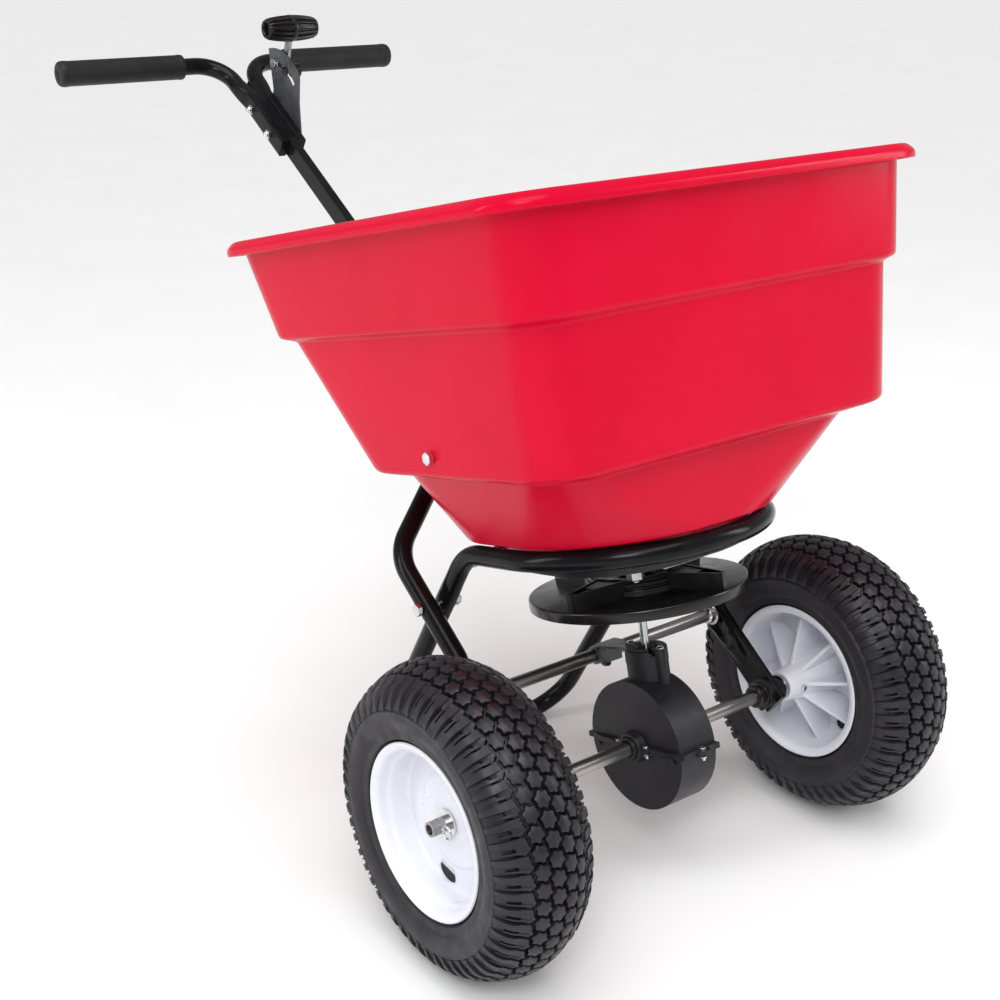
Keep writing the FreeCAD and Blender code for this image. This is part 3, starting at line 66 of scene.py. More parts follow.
MM = 0.001
JOINTS = {joint["name"]: joint for joint in frame["joints"]}
AXLE = Vector(JOINTS["axle_spin"]["pos_m"])
SPIN_AXIS = Vector(JOINTS["spinner_spin"]["axis"])
LEAN = math.atan2(SPIN_AXIS.y, SPIN_AXIS.z)
CHASSIS = Matrix.Translation(AXLE) @ Matrix.Rotation(-LEAN, 4, "X") @ Matrix.Scale(MM, 4)
POST_FOOT = (0, 121.8, 230.0)
POST_ANGLE = math.radians(44)
HANDLE = CHASSIS @ Matrix.Translation(POST_FOOT) @ Matrix.Rotation(-POST_ANGLE, 4, "X")
TRACK_HALF = 265.0
WHEEL = {
    "drive": CHASSIS @ Matrix.Translation((TRACK_HALF, 0, 0)),
    "free": (CHASSIS @ Matrix.Translation((-TRACK_HALF, 0, 0))
             @ Matrix.Rotation(math.pi, 4, "Z")),
}
WHEEL_BODY = {"drive": "axle", "free": "free_wheel"}
TUBE = 11.1


# ---- shaping helpers ---------------------------------------------------------------------

def ease(low, high, at):
    """0 below low, 1 above high, smooth between."""
    part = min(max((at - low) / (high - low), 0.0), 1.0)
    return part * part * (3 - 2 * part)


def mix(first, second, part):
    return first + (second - first) * part


def rounded(points, steps=4):
    """A line of points in any dimension, whose last number is the rounding at that point."""
    places = [Vector(point[:-1]) for point in points]
    out = [places[0]]
    for before, here, after, point in zip(places, places[1:], places[2:], points[1:]):
        radius = point[-1]
        back, ahead = before - here, after - here
        if radius <= 0:
            out.append(here)
            continue
        start = here + back * min(0.48, radius / back.length)
        end = here + ahead * min(0.48, radius / ahead.length)
        for step in range(steps + 1):
            part = step / steps
            out.append(start.lerp(here, part).lerp(here.lerp(end, part), part))
    out.append(places[-1])
    return out


def piece(name, verts, faces, place, body, look, replaces=(), slot=None, sharp=35, bevel=0.0):
    """One mesh in the row frame, riding on its body."""
    mesh = bpy.data.meshes.new(name)
    mesh.from_pydata([tuple(vert) for vert in verts], [], faces)
    mesh.transform(place)
    return finish_mesh(name, mesh, body, look, replaces, sharp, bevel)


def finish_mesh(name, mesh, body, look, replaces, sharp, bevel):
    made = bmesh.new()
    made.from_mesh(mesh)
    bmesh.ops.remove_doubles(made, verts=made.verts, dist=1e-6)
    bmesh.ops.recalc_face_normals(made, faces=made.faces)
    for face in made.faces:
        face.smooth = True
    for edge in made.edges:
        edge.smooth = edge.calc_face_angle(0) < math.radians(sharp)
    made.to_mesh(mesh)
    made.free()
    obj = bpy.data.objects.new(name, mesh)
    bpy.context.scene.collection.objects.link(obj)
    mesh.materials.clear()
    mesh.materials.append(look)
    if bevel:
        edges = obj.modifiers.new("edges", "BEVEL")
        edges.width = bevel * MM
        edges.segments = 3
        edges.limit_method = "ANGLE"
        edges.angle_limit = math.radians(sharp)
        edges.harden_normals = True
    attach(obj, body)
    if replaces:
        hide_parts(*replaces)
    return obj


def grid_faces(rows, columns, wrap_rows=False, wrap_columns=True):
    faces = []
    for row in range(rows if wrap_rows else rows - 1):
        for column in range(columns if wrap_columns else columns - 1):
            after_row = (row + 1) % rows
            after = (column + 1) % columns
            faces.append((row * columns + column, row * columns + after,
                          after_row * columns + after, after_row * columns + column))
    return faces


def lathe(outline, segments=128, closed=True, axis="X"):
    """Turn (along, radius) points about an axis; a closed outline makes a ring."""
    verts = []
    for along, radius in outline:
        for segment in range(segments):
            angle = 2 * math.pi * segment / segments
            across, up = radius * math.sin(angle), radius * math.cos(angle)
            verts.append((along, across, up) if axis == "X" else (across, up, along))
    return verts, grid_faces(len(outline), segments, wrap_rows=closed)


def rounded_ring(outline, steps, segments, axis="X"):
    """Turn an outline whose last point repeats its first, with its corners rounded."""
    rings = [tuple(point) for point in rounded(outline, steps)][:-1]
    return lathe(rings, segments, axis=axis)


def post(outline, segments):
    """Turn a solid outline about the Z axis."""
    return lathe(outline, segments, closed=False, axis="Z")


def prism_faces(count):
    """The faces between two rings of count points, and one at each end."""
    return grid_faces(2, count) + [tuple(range(count)), tuple(range(count, 2 * count))]


def route(points, bends, step=6.0):
    """(point, heading, distance) along straight runs joined by arcs."""
    corners = [Vector(point) for point in points]
    line = [corners[0]]
    for before, here, after, radius in zip(corners, corners[1:], corners[2:], bends):
        back, ahead = (before - here).normalized(), (after - here).normalized()
        turn = math.pi - back.angle(ahead)
        reach = radius * math.tan(turn / 2)
        centre = here + (back + ahead).normalized() * (radius / math.cos(turn / 2))
        start, end = here + back * reach, here + ahead * reach
        count = max(6, int(math.degrees(turn) / 4))
        line.append(start)
        for index in range(1, count):
            line.append(centre + (start - centre).slerp(end - centre, index / count) * radius)
        line.append(end)
    line.append(corners[-1])
    dense = [line[0]]
    for start, end in zip(line, line[1:]):
        parts = max(1, math.ceil((end - start).length / step))
        dense += [start.lerp(end, index / parts) for index in range(1, parts + 1)]
    stations, travelled = [], 0.0
    for index, point in enumerate(dense):
        if index:
            travelled += (point - dense[index - 1]).length
        nearby = dense[max(index - 1, 0)], dense[min(index + 1, len(dense) - 1)]
        stations.append((point, (nearby[1] - nearby[0]).normalized(), travelled))
    return stations


def oval(half_thin, half_wide, square=2.0, count=40):
    """A cross-section between an ellipse (square 2) and a rounded bar (square 8)."""
    ring = []
    for index in range(count):
        angle = 2 * math.pi * (index + 0.5) / count
        thin, wide = math.cos(angle), math.sin(angle)
        ring.append((math.copysign(abs(thin) ** (2 / square), thin) * half_thin,
                     math.copysign(abs(wide) ** (2 / square), wide) * half_wide))
    return ring


def sweep(stations, section, thin=(1, 0, 0), capped=True):
    """Carry section(distance) along the stations; thin is the way its first axis starts."""
    thin = Vector(thin)
    verts, count = [], 0
    for point, heading, distance in stations:
        thin = (thin - heading * thin.dot(heading)).normalized()
        wide = heading.cross(thin)
        ring = section(distance)
        count = len(ring)
        verts += [point + thin * first + wide * second for first, second in ring]
    faces = grid_faces(len(stations), count)
    if capped:
        faces.append(tuple(range(count)))
        faces.append(tuple(range(len(verts) - count, len(verts))))
    return verts, faces


def round_section(radius):
    return lambda distance: oval(radius, radius)


def join(parts):
    """Several (verts, faces) as one."""
    verts, faces = [], []
    for some_verts, some_faces in parts:
        start = len(verts)
        verts += [Vector(vert) for vert in some_verts]
        faces += [tuple(start + index for index in face) for face in some_faces]
    return verts, faces


def moved(part, matrix):
    verts, faces = part
    return [matrix @ Vector(vert) for vert in verts], faces


def slab(low, high):
    (x0, y0, z0), (x1, y1, z1) = low, high
    verts = [(x, y, z) for x in (x0, x1) for y in (y0, y1) for z in (z0, z1)]
    return verts, [(0, 1, 3, 2), (4, 6, 7, 5), (0, 4, 5, 1), (2, 3, 7, 6), (0, 2, 6, 4),
                   (1, 5, 7, 3)]


# ---- materials ---------------------------------------------------------------------------

def new_material(name):
    made = bpy.data.materials.new(name)
    made.use_nodes = True
    nodes = made.node_tree.nodes
    return made, nodes, made.node_tree.links, nodes["Principled BSDF"]


def noise(nodes, links, scale, detail=4.0, rough=0.55, stretch=None):
    """A noise in the part's own metres."""
    place = nodes.new("ShaderNodeTexCoord")
    texture = nodes.new("ShaderNodeTexNoise")
    texture.inputs["Scale"].default_value = scale
    texture.inputs["Detail"].default_value = detail
    texture.inputs["Roughness"].default_value = rough
    source = place.outputs["Object"]
    if stretch:
        mapping = nodes.new("ShaderNodeMapping")
        mapping.inputs["Scale"].default_value = stretch
        links.new(source, mapping.inputs["Vector"])
        source = mapping.outputs["Vector"]
    links.new(source, texture.inputs["Vector"])
    return texture.outputs["Fac"]


def spread(nodes, links, source, low, high, start=0.3, end=0.7):
    remap = nodes.new("ShaderNodeMapRange")
    remap.inputs["From Min"].default_value = start
    remap.inputs["From Max"].default_value = end
    remap.inputs["To Min"].default_value = low
    remap.inputs["To Max"].default_value = high
    links.new(source, remap.inputs["Value"])
    return remap.outputs["Result"]


def two_tone(nodes, links, source, low, high, start=0.35, end=0.65):
    ramp = nodes.new("ShaderNodeValToRGB")
    ramp.color_ramp.elements[0].position = start
    ramp.color_ramp.elements[1].position = end
    ramp.color_ramp.elements[0].color = (*low, 1)
    ramp.color_ramp.elements[1].color = (*high, 1)
    links.new(source, ramp.inputs["Fac"])
    return ramp.outputs["Color"]


def bump(nodes, links, shader, layers):
    """Stacked bumps: (height source, distance in metres, strength)."""
    normal = None
    for height, distance, strength in layers:
        made = nodes.new("ShaderNodeBump")
        made.inputs["Strength"].default_value = strength
        made.inputs["Distance"].default_value = distance
        links.new(height, made.inputs["Height"])
        if normal:
            links.new(normal, made.inputs["Normal"])
        normal = made.outputs["Normal"]
    links.new(normal, shader.inputs["Normal"])


def surface(name, low, high, rough, metal=0.0, tone_scale=30.0, grain=900.0, grain_depth=0.0001,
            wave=0.0, wave_scale=12.0, coat=0.0, coat_rough=0.1, spec=0.5, stretch=None):
    """The general recipe: two tones, varied roughness, a fine grain and a slow waviness."""
    made, nodes, links, shader = new_material(name)
    tone = noise(nodes, links, tone_scale, stretch=stretch)
    links.new(two_tone(nodes, links, tone, low, high), shader.inputs["Base Color"])
    worn = noise(nodes, links, tone_scale * 2.3, 6.0, stretch=stretch)
    links.new(spread(nodes, links, worn, rough[0], rough[1]), shader.inputs["Roughness"])
    shader.inputs["Metallic"].default_value = metal
    shader.inputs["Specular IOR Level"].default_value = spec
    shader.inputs["Coat Weight"].default_value = coat
    shader.inputs["Coat Roughness"].default_value = coat_rough
    layers = [(noise(nodes, links, grain, 2.0, stretch=stretch), grain_depth, 0.6)]
    if wave:
        layers.append((noise(nodes, links, wave_scale, 1.0), wave, 1.0))
    bump(nodes, links, shader, layers)
    return made


RED = surface("red_poly", (0.60, 0.0012, 0.026), (0.65, 0.0016, 0.031), (0.17, 0.26), tone_scale=7,
              grain=1400, grain_depth=0.00002, wave=0.0022, wave_scale=7, spec=0.11)
BLACK = surface("powder_coat", (0.0045, 0.0045, 0.0052), (0.0085, 0.0085, 0.0098), (0.14, 0.24),
                tone_scale=25, grain=1100, grain_depth=0.00005, spec=0.16)
MOULDED = surface("moulded_black", (0.0080, 0.0072, 0.0094), (0.0150, 0.0136, 0.0172),
                  (0.38, 0.52), tone_scale=18, grain=2200, grain_depth=0.00008, wave=0.0003,
                  wave_scale=25, spec=0.38)
GLOSSY_BLACK = surface("glossy_black", (0.005, 0.0045, 0.0045), (0.012, 0.011, 0.0105),
                       (0.16, 0.30), tone_scale=22, grain=900, grain_depth=0.00003, wave=0.0003,
                       wave_scale=20, spec=0.4)
RUBBER_GRIP = surface("grip_vinyl", (0.006, 0.006, 0.0065), (0.011, 0.011, 0.012), (0.46, 0.62),
                      tone_scale=30, grain=1800, grain_depth=0.00015, spec=0.35)
ZINC = surface("zinc_plate", (0.58, 0.59, 0.61), (0.78, 0.78, 0.77), (0.14, 0.28), metal=1.0,
               tone_scale=90, grain=700, grain_depth=0.00005)
STEEL = surface("drawn_steel", (0.27, 0.255, 0.245), (0.44, 0.42, 0.41), (0.24, 0.42), metal=1.0,
                tone_scale=45, grain=500, grain_depth=0.00005, stretch=(0.12, 1, 1))
STAMPED = surface("stamped_steel", (0.30, 0.30, 0.31), (0.48, 0.48, 0.49), (0.30, 0.46), metal=1.0,
                  tone_scale=60, grain=900, grain_depth=0.00006)
DARK_PLATE = surface("dark_plate", (0.028, 0.030, 0.034), (0.062, 0.066, 0.074), (0.20, 0.38),
                     tone_scale=35, grain=1200, grain_depth=0.00006, spec=0.8)
WHITE = surface("white_poly", (0.73, 0.75, 0.82), (0.79, 0.80, 0.86), (0.26, 0.40), tone_scale=12,
                grain=900, grain_depth=0.00004, wave=0.0005, wave_scale=14, spec=0.45)
NYLON = surface("gear_nylon", (0.62, 0.60, 0.54), (0.72, 0.70, 0.64), (0.4, 0.55))
VALVE = surface("valve_rubber", (0.006, 0.006, 0.006), (0.012, 0.012, 0.012), (0.5, 0.65),
                spec=0.35)


def make_tyre_rubber():
    """Dark rubber with a dusty bloom, a fine pebble and a faint coarser unevenness."""
    made, nodes, links, shader = new_material("tyre_rubber")
    dust = noise(nodes, links, 28, 7.0, 0.65)
    links.new(two_tone(nodes, links, dust, (0.0064, 0.0058, 0.0080), (0.020, 0.0180, 0.0245),
                       0.3, 0.75), shader.inputs["Base Color"])
    links.new(spread(nodes, links, noise(nodes, links, 60, 5.0), 0.34, 0.60),
              shader.inputs["Roughness"])
    shader.inputs["Specular IOR Level"].default_value = 0.42
    bump(nodes, links, shader, [(noise(nodes, links, 1500, 2.0), 0.00015, 0.5),
                                (noise(nodes, links, 120, 3.0), 0.0003, 0.35)])
    return made


TYRE = make_tyre_rubber()


# ---- hopper ------------------------------------------------------------------------------

WALL = 3.6
# height, half width, front, rear, front corner, rear corner, rounding of the profile there
TIERS = [
    (217.0, 118.0, 106.0, 100.0, 92.0, 80.0, 0),
    (240.0, 131.0, 120.0, 110.0, 114.0, 85.0, 4),
    (247.6, 139.0, 127.0, 116.0, 126.0, 78.0, 2),
    (251.2, 159.6, 142.6, 123.6, 142.0, 74.0, 3),
    (332.0, 205.3, 161.2, 133.8, 60.0, 60.0, 5),
    (339.5, 233.3, 189.2, 149.8, 52.0, 52.0, 7),
    (480.0, 242.7, 200.9, 256.6, 52.0, 52.0, 4),
    (485.3, 252.3, 209.9, 276.9, 52.0, 52.0, 5),
    (582.0, 258.8, 217.8, 310.7, 52.0, 52.0, 5),
]
LIP = [
    (584.0, 268.5, 226.0, 320.0, 57.0, 57.0, 2.5),
    (579.1, 271.5, 229.0, 323.0, 59.0, 59.0, 1.5),
    (579.1, 275.0, 232.0, 326.0, 60.0, 60.0, 1.5),
    (586.5, 275.7, 232.3, 326.2, 60.0, 60.0, 5.0),
    (594.4, 268.0, 225.5, 319.5, 56.0, 56.0, 5.5),
    (594.4, 257.6, 216.6, 309.4, 50.0, 50.0, 4.5),
]
LIP_INSIDE = (570.0, 254.7, 213.7, 306.0, 48.4, 48.4, 0)
LEDGE_HEIGHT = 335.0
LUG_TURNS = (-75, -32, -12, 32, 75)
LUG_OUTLINE = [(0, 0.01), (0, 4.0), (4, 4.0), (6.5, 3.0), (7.0, 0.01)]
LUG_PLACE = (150, 0, 253)


def hopper_loop(height, half, front, rear, front_corner, rear_corner, around=14, along=12):
    """One level of the tub: a rectangle with round corners."""
    corners = [(half, rear, rear_corner, 0), (-half, rear, rear_corner, 90),
               (-half, -front, front_corner, 180), (half, -front, front_corner, 270)]
    ends = []
    for x, y, corner, start in corners:
        middle = Vector((x - math.copysign(corner, x), y - math.copysign(corner, y), height))
        for index in range(around + 1):
            angle = math.radians(start + 90 * index / around)
            ends.append(middle + Vector((math.cos(angle), math.sin(angle), 0)) * corner)
    ring = []
    for index, point in enumerate(ends):
        ring.append(point)
        if index % (around + 1) == around:
            after = ends[(index + 1) % len(ends)]
            ring += [point.lerp(after, part / along) for part in range(1, along)]
    return ring


def make_hopper():
    outer = rounded(TIERS + LIP + [LIP_INSIDE])
    inner = []
    for height, *sizes, bend in reversed(TIERS[1:-1]):
        lifted = height + (WALL if height < LEDGE_HEIGHT else 0)
        inner.append((lifted, *(size - WALL for size in sizes), bend + 2))
    floor_edge = (TIERS[0][0] + WALL, *(size - WALL for size in TIERS[0][1:-1]), 0)
    inside = rounded([tuple(outer[-1]) + (0,)] + inner + [floor_edge])
    rings = [hopper_loop(*level) for level in outer + inside[1:]]
    count = len(rings[0])
    verts = [vert for ring in rings for vert in ring]
    faces = grid_faces(len(rings), count)
    faces.append(tuple(range(count)))
    faces.append(tuple(range(len(verts) - count, len(verts))))
    piece("hopper_tub", verts, faces, CHASSIS, "frame", RED, ["hopper"], "red_shell", sharp=70)
    lugs = []
    for turn in LUG_TURNS:
        peg = lathe(LUG_OUTLINE, 20, closed=False)
        spot = Matrix.Rotation(math.radians(turn - 90), 4, "Z") @ Matrix.Translation(LUG_PLACE)
        lugs.append(moved(peg, Matrix.Translation((0, 13, 0)) @ spot))
    piece("hopper_lugs", *join(lugs), CHASSIS, "frame", RED, slot="red_shell")


# ---- frame tubes -------------------------------------------------------------------------

HOOP = 152.0
HOOP_FRONT = 12.0
HOOP_HEIGHT = 236.0
LEG_TOP = 91.4
LEG_ANGLE = math.radians(43.6)
LEG_LENGTH = 418.5
CROSSBAR = 8.0
CROSSBAR_PLACE = (112.0, 222.2)
RAIL_PLACE = 174.5
RAIL_FOOT = 18
RAIL_ANGLE = math.radians(40)
ROD_ALONG = 113.5
CLAMP_ALONG = 230.5


def on_post(along):
    return Vector((0, POST_FOOT[1] + along * math.sin(POST_ANGLE),
                   POST_FOOT[2] + along * math.cos(POST_ANGLE)))


def on_rail(along, side):
    return Vector((side * RAIL_PLACE, along * math.sin(RAIL_ANGLE), along * math.cos(RAIL_ANGLE)))


def cross_rod_place():
    return Vector((0, ROD_ALONG * math.sin(RAIL_ANGLE), ROD_ALONG * math.cos(RAIL_ANGLE)))


def make_stand():
    """The hoop, legs and ground bar: one bent tube, dented where the side rails cross it."""
    foot_back = LEG_TOP + LEG_LENGTH * math.sin(LEG_ANGLE)
    foot = HOOP_HEIGHT - LEG_LENGTH * math.cos(LEG_ANGLE)
    front = HOOP_FRONT - HOOP
    corners = [Vector((0, foot_back, foot)), Vector((HOOP, foot_back, foot)),
               Vector((HOOP, LEG_TOP, HOOP_HEIGHT)), Vector((HOOP, front, HOOP_HEIGHT)),
               Vector((-HOOP, front, HOOP_HEIGHT)), Vector((-HOOP, LEG_TOP, HOOP_HEIGHT)),
               Vector((-HOOP, foot_back, foot)), Vector((0, foot_back, foot))]
    stations = route(corners, [55, 60, HOOP - 0.5, HOOP - 0.5, 60, 55])
    crossings = [on_rail(CLAMP_ALONG, side) for side in (1, -1)]
    dents = [min(stations, key=lambda station: (station[0] - spot).length)[2]
             for spot in crossings]

    def section(distance):
        near = min(abs(distance - dent) for dent in dents)
        press = 1 - ease(14, 42, near)
        return oval(TUBE - 2.6 * press, TUBE + 0.6 * press, 2 + press)

    tube = sweep(stations[:-1], section, thin=(0, -0.72, 0.69), capped=False)
    piece("stand_frame", *tube, CHASSIS, "frame", BLACK, ["stand_tube"], "black_frame")
    bar = route([(-HOOP + 4, *CROSSBAR_PLACE), (HOOP - 4, *CROSSBAR_PLACE)], [])
    piece("stand_crossbar", *sweep(bar, round_section(CROSSBAR), thin=(0, 1, 0)), CHASSIS,
          "frame", BLACK, ["rear_crossbar"], "black_frame")


def make_side_rail(side, name):
    """A tube squeezed to a flat, creased plate at the axle, bent in to the post above."""
    beside = side * (6 + TUBE + 0.1)
    meet, top = on_post(185), on_post(246)
    meet.x = top.x = beside
    stations = route([on_rail(-RAIL_FOOT, side), on_rail(303, side), meet, top], [60, 45])
    total = stations[-1][2]

    def section(distance):
        along = distance - RAIL_FOOT
        flat = 1 - ease(96, 158, along)
        end_flat = ease(total - 62, total - 34, distance)
        press = max(flat, 0.45 * end_flat)
        ring = oval(mix(TUBE, 4.5, press), mix(TUBE, 18.0, press), mix(2, 7, press), 72)
        crease = ease(30, 60, along) * (1 - ease(132, 165, along))
        width = mix(2.2, 10.0, ease(32, 115, along))
        depth = mix(8.5, 5.2, flat) * crease
        shaped = []
        for first, second in ring:
            inner = first * side < 0
            hollow = depth * math.exp(-(second / width) ** 4)
            puff = 3.0 * crease * math.exp(-((abs(second) - width - 3.0) / 3.0) ** 2)
            if inner:
                first += side * (hollow - puff)
            else:
                first += side * 0.6 * puff
            shaped.append((first, second))
        return shaped

    piece(f"rail_{name}", *sweep(stations, section), CHASSIS, "frame", BLACK,
          [f"side_rail_{name}"], "black_frame", sharp=50)


# ---- handle ------------------------------------------------------------------------------

GRIP_HEIGHT = 852.0
PIVOT = 754.0
KNOB_REACH = 111
KNOB_ANGLE = math.radians(13.5)


def make_handlebar(side, name):
    """Flat where it is bolted to the post, round where it turns out to the grip."""
    middle = side * (6.05 + TUBE)
    stations = route([(side * 12.05, 0, 672), (side * 12.05, 0, 776), (middle, 0, 806),
                      (middle, 0, GRIP_HEIGHT), (side * 246, 0, GRIP_HEIGHT)], [60, 60, 42], 5)

    def section(distance):
        press = 1 - ease(92, 136, distance)
        return oval(mix(TUBE, 6.0, press), mix(TUBE, 13.0, press), mix(2, 6, press), 48)

    piece(f"bar_{name}", *sweep(stations, section), HANDLE, "frame", BLACK,
          [f"handlebar_{name}"], "black_frame", sharp=50)
    outline = [(78, 11.3, 0), (78, 15.6, 1.2), (80, 16.5, 1.5), (84, 16.5, 0.8), (85, 16.1, 0.5),
               (240, 16.1, 0.5), (241, 16.5, 0.8), (248, 16.5, 3.5), (251.8, 14.5, 3),
               (252, 6, 1), (250.6, 5, 0.5), (250.6, 0.01, 0)]
    rings = [tuple(point) for point in rounded(outline, 3)]
    turned = lathe(rings, 64, closed=False)
    spot = Matrix.Translation((0, 0, GRIP_HEIGHT)) @ Matrix.Scale(side, 4, (1, 0, 0))
    piece(f"sleeve_{name}", *moved(turned, spot), HANDLE, "frame", RUBBER_GRIP,
          [f"grip_{name}"], "grip_rubber")


def make_knob():
    """A ribbed barrel with a plain band round its middle and hollow ends."""
    centre = Vector((24, -KNOB_REACH * math.cos(KNOB_ANGLE),
                     PIVOT + KNOB_REACH * math.sin(KNOB_ANGLE)))
    ribs, around = 14, 168
    stations = [(-29, 0.3, 0), (-29, 8.4, 0), (-35.8, 8.8, 0), (-37.0, 10.2, 0), (-36.6, 11.6, 0),
                (-34.8, 12.6, .3)]
    stations += [(along, 16.9 - 3.9 * (along / 36) ** 2, 1) for along in range(-32, -3, 4)]
    stations += [(-3.2, 16.9, 1), (-2.6, 17.0, 0), (0, 17.2, 0)]
    stations += [(-along, radius, rib) for along, radius, rib in reversed(stations[:-1])]
    verts = []
    for along, radius, rib in stations:
        for index in range(around):
            angle = 2 * math.pi * index / around
            groove = min(1.0, max(0.0, 1.6 * math.cos(ribs * angle) + 0.25))
            here = radius - 3.0 * rib * groove
            verts.append((along, here * math.sin(angle), here * math.cos(angle)))
    faces = grid_faces(len(stations), around)
    faces += [tuple(range(around)), tuple(range(len(verts) - around, len(verts)))]
    piece("knob_barrel", verts, faces, HANDLE @ Matrix.Translation(centre), "lever",
          GLOSSY_BLACK, ["lever_knob"], "knob_plastic", sharp=60)


# ---- wheels ------------------------------------------------------------------------------

CROWN_RADIUS = 58.0
CROWN_CENTRE = 107.0
STUDS = 54
STUD_ROWS = 6
STUD_SIZE = 7.25
STUD_MIDDLE = 160.0
TREAD_SPAN = math.radians(77)
# lugs in each pitch: offset in pitches, lowest radius, width, rise at the top
LUGS = ((0.0, 126, 6.0, 2.9), (0.5, 137, 2.0, 1.7))
# moulded rings on the side wall: radius, width, height
WALL_RINGS = [(99.5, 0.9, 0.7), (104.0, 0.7, -0.5), (124.5, 0.8, 0.9), (127.2, 0.7, -0.7)]


def crown(angle, lift=0.0):
    """(across, radius) on the tread's round crown; lift is measured from the stud tops."""
    reach = CROWN_RADIUS + lift
    return reach * math.sin(angle), CROWN_CENTRE + reach * math.cos(angle)


def arc(start, end, radius, count):
    """Points on the arc that bulges to the right of start to end."""
    start, end = Vector(start), Vector(end)
    chord = end - start
    side = Vector((chord.y, -chord.x)).normalized()
    centre = (start + end) / 2 - side * math.sqrt(radius ** 2 - (chord.length / 2) ** 2)
    first = math.atan2(start.y - centre.y, start.x - centre.x)
    last = math.atan2(end.y - centre.y, end.x - centre.x)
    return [(centre.x + radius * math.cos(mix(first, last, index / count)),
             centre.y + radius * math.sin(mix(first, last, index / count)))
            for index in range(count + 1)]


def make_carcass():
    """Half of the tyre's outline from bead to crown, mirrored, and turned."""
    half = [(35.0, 87.0), (43.0, 87.0), (44.2, 91.5), (46.5, 94.4), (49.3, 95.6), (50.4, 98.0)]
    wall = arc((50.0, 102.0), (42.0, 144.5), 30.0, 40)
    for across, radius in wall:
        ring = sum(height * math.exp(-((radius - place) / wide) ** 2)
                   for place, wide, height in WALL_RINGS)
        half.append((across + ring, radius))
    half += [crown(math.radians(degrees), -7.8) for degrees in range(42, -1, -6)]
    outline = half + [(-across, radius) for across, radius in reversed(half[:-1])]
    inner = [(-35.0, 92.0), (-43.0, 112.0), (-34.0, 141.0), (0.0, 154.0), (34.0, 141.0),
             (43.0, 112.0), (35.0, 92.0)]
    return lathe(outline + inner, 192)


def make_stud(row_angle, turn):
    """One star-edged stud on the crown, wider at its foot."""
    count = 36
    verts = []
    for lift, scale in ((-9.0, 1.10), (-0.8, 1.01), (-0.2, 0.98), (0.0, 0.93)):
        for index in range(count):
            angle = 2 * math.pi * index / count
            star = 1 + 0.125 * math.cos(6 * angle + math.pi / 2)
            reach = STUD_SIZE * scale * star
            tilt = row_angle + reach * math.cos(angle) / CROWN_RADIUS
            across, radius = crown(tilt, lift)
            swing = turn + reach * 1.08 * math.sin(angle) / STUD_MIDDLE
            verts.append((across, radius * math.sin(swing), radius * math.cos(swing)))
    faces = grid_faces(4, count)
    faces.append(tuple(range(3 * count, 4 * count)))
    return verts, faces


def make_lug(side, turn, low, width, rise_top):
    """A sloping wedge on the shoulder, running down the side wall, steep on one flank."""
    wall = arc((50.0, 102.0), (41.6, 148.0), 30.4, 12)
    steps = [point for point in wall if point[1] > low]
    steps += [crown(math.radians(degrees), -1.0) for degrees in (43, 38, 34)]
    verts, rows = [], len(steps)
    for index, (across, radius) in enumerate(steps):
        part = index / (rows - 1)
        rise = mix(0.15, rise_top, ease(0, 0.7, part))
        half = width * mix(0.45, 1.0, part ** 0.7)
        outward = Vector((across - 14, (radius - 118) * 0.9)).normalized()
        top = Vector((across, radius)) + outward * (rise - 0.4)
        top.x = min(top.x, 55.4)
        foot = Vector((across, radius)) - outward * 5
        for place, aside in ((foot, 1.05), (top, 0.55), (top, -0.9), (foot, -1.0)):
            swing = turn + aside * half / radius
            verts.append((side * place.x, place.y * math.sin(swing), place.y * math.cos(swing)))
    faces = grid_faces(rows, 4)
    faces += [(0, 1, 2, 3), tuple(range(len(verts) - 4, len(verts)))]
    return verts, faces


def make_tyre(name):
    parts = [make_carcass()]
    for row in range(STUD_ROWS):
        row_angle = TREAD_SPAN * (row / (STUD_ROWS - 1) - 0.5)
        for index in range(STUDS):
            turn = 2 * math.pi * (index + 0.5 * (row % 2)) / STUDS
            parts.append(make_stud(row_angle, turn))
    for side in (-1, 1):
        for index in range(STUDS):
            for offset, low, width, rise in LUGS:
                turn = 2 * math.pi * (index + offset + 0.25) / STUDS
                parts.append(make_lug(side, turn, low, width, rise))
    piece(f"{name}_tread", *join(parts), WHEEL[name], WHEEL_BODY[name], TYRE,
          [f"{name}_tyre"], "tyre_rubber", sharp=38)


VALVE_TURN = math.radians(22.5)
VALVE_PLACE = 67.5
RIM_OUTLINE = [
    (-69, 8.0, 0), (-69, 16.2, 0), (-67.5, 17.6, 2), (-24, 25, 8), (2, 33, 9), (4.4, 70, 12),
    (-2, 79.5, 7), (-46, 81.4, 5), (-49.4, 90.4, 2), (-47.4, 92.9, 1.2), (-44.8, 87, 2),
    (44.8, 87, 2), (47.4, 92.9, 1.2), (50.4, 91.0, 2), (46.6, 82.4, 4), (36, 81.2, 3),
    (32.5, 78.6, 2.5), (16, 78.0, 3), (11.0, 76.0, 2.5), (10.6, 52, 3), (13.2, 48, 2.5),
    (13.4, 27, 3), (16.2, 21.0, 2), (17, 8.6, 0), (-69, 8.0, 0),
]
WEBS = 8
WEB_HALF = 2.0
WEB_SHAPE = [(-50, 19), (-30, 23), (-8, 29), (4, 40), (5, 72), (-2, 80.5), (-18, 80.8)]


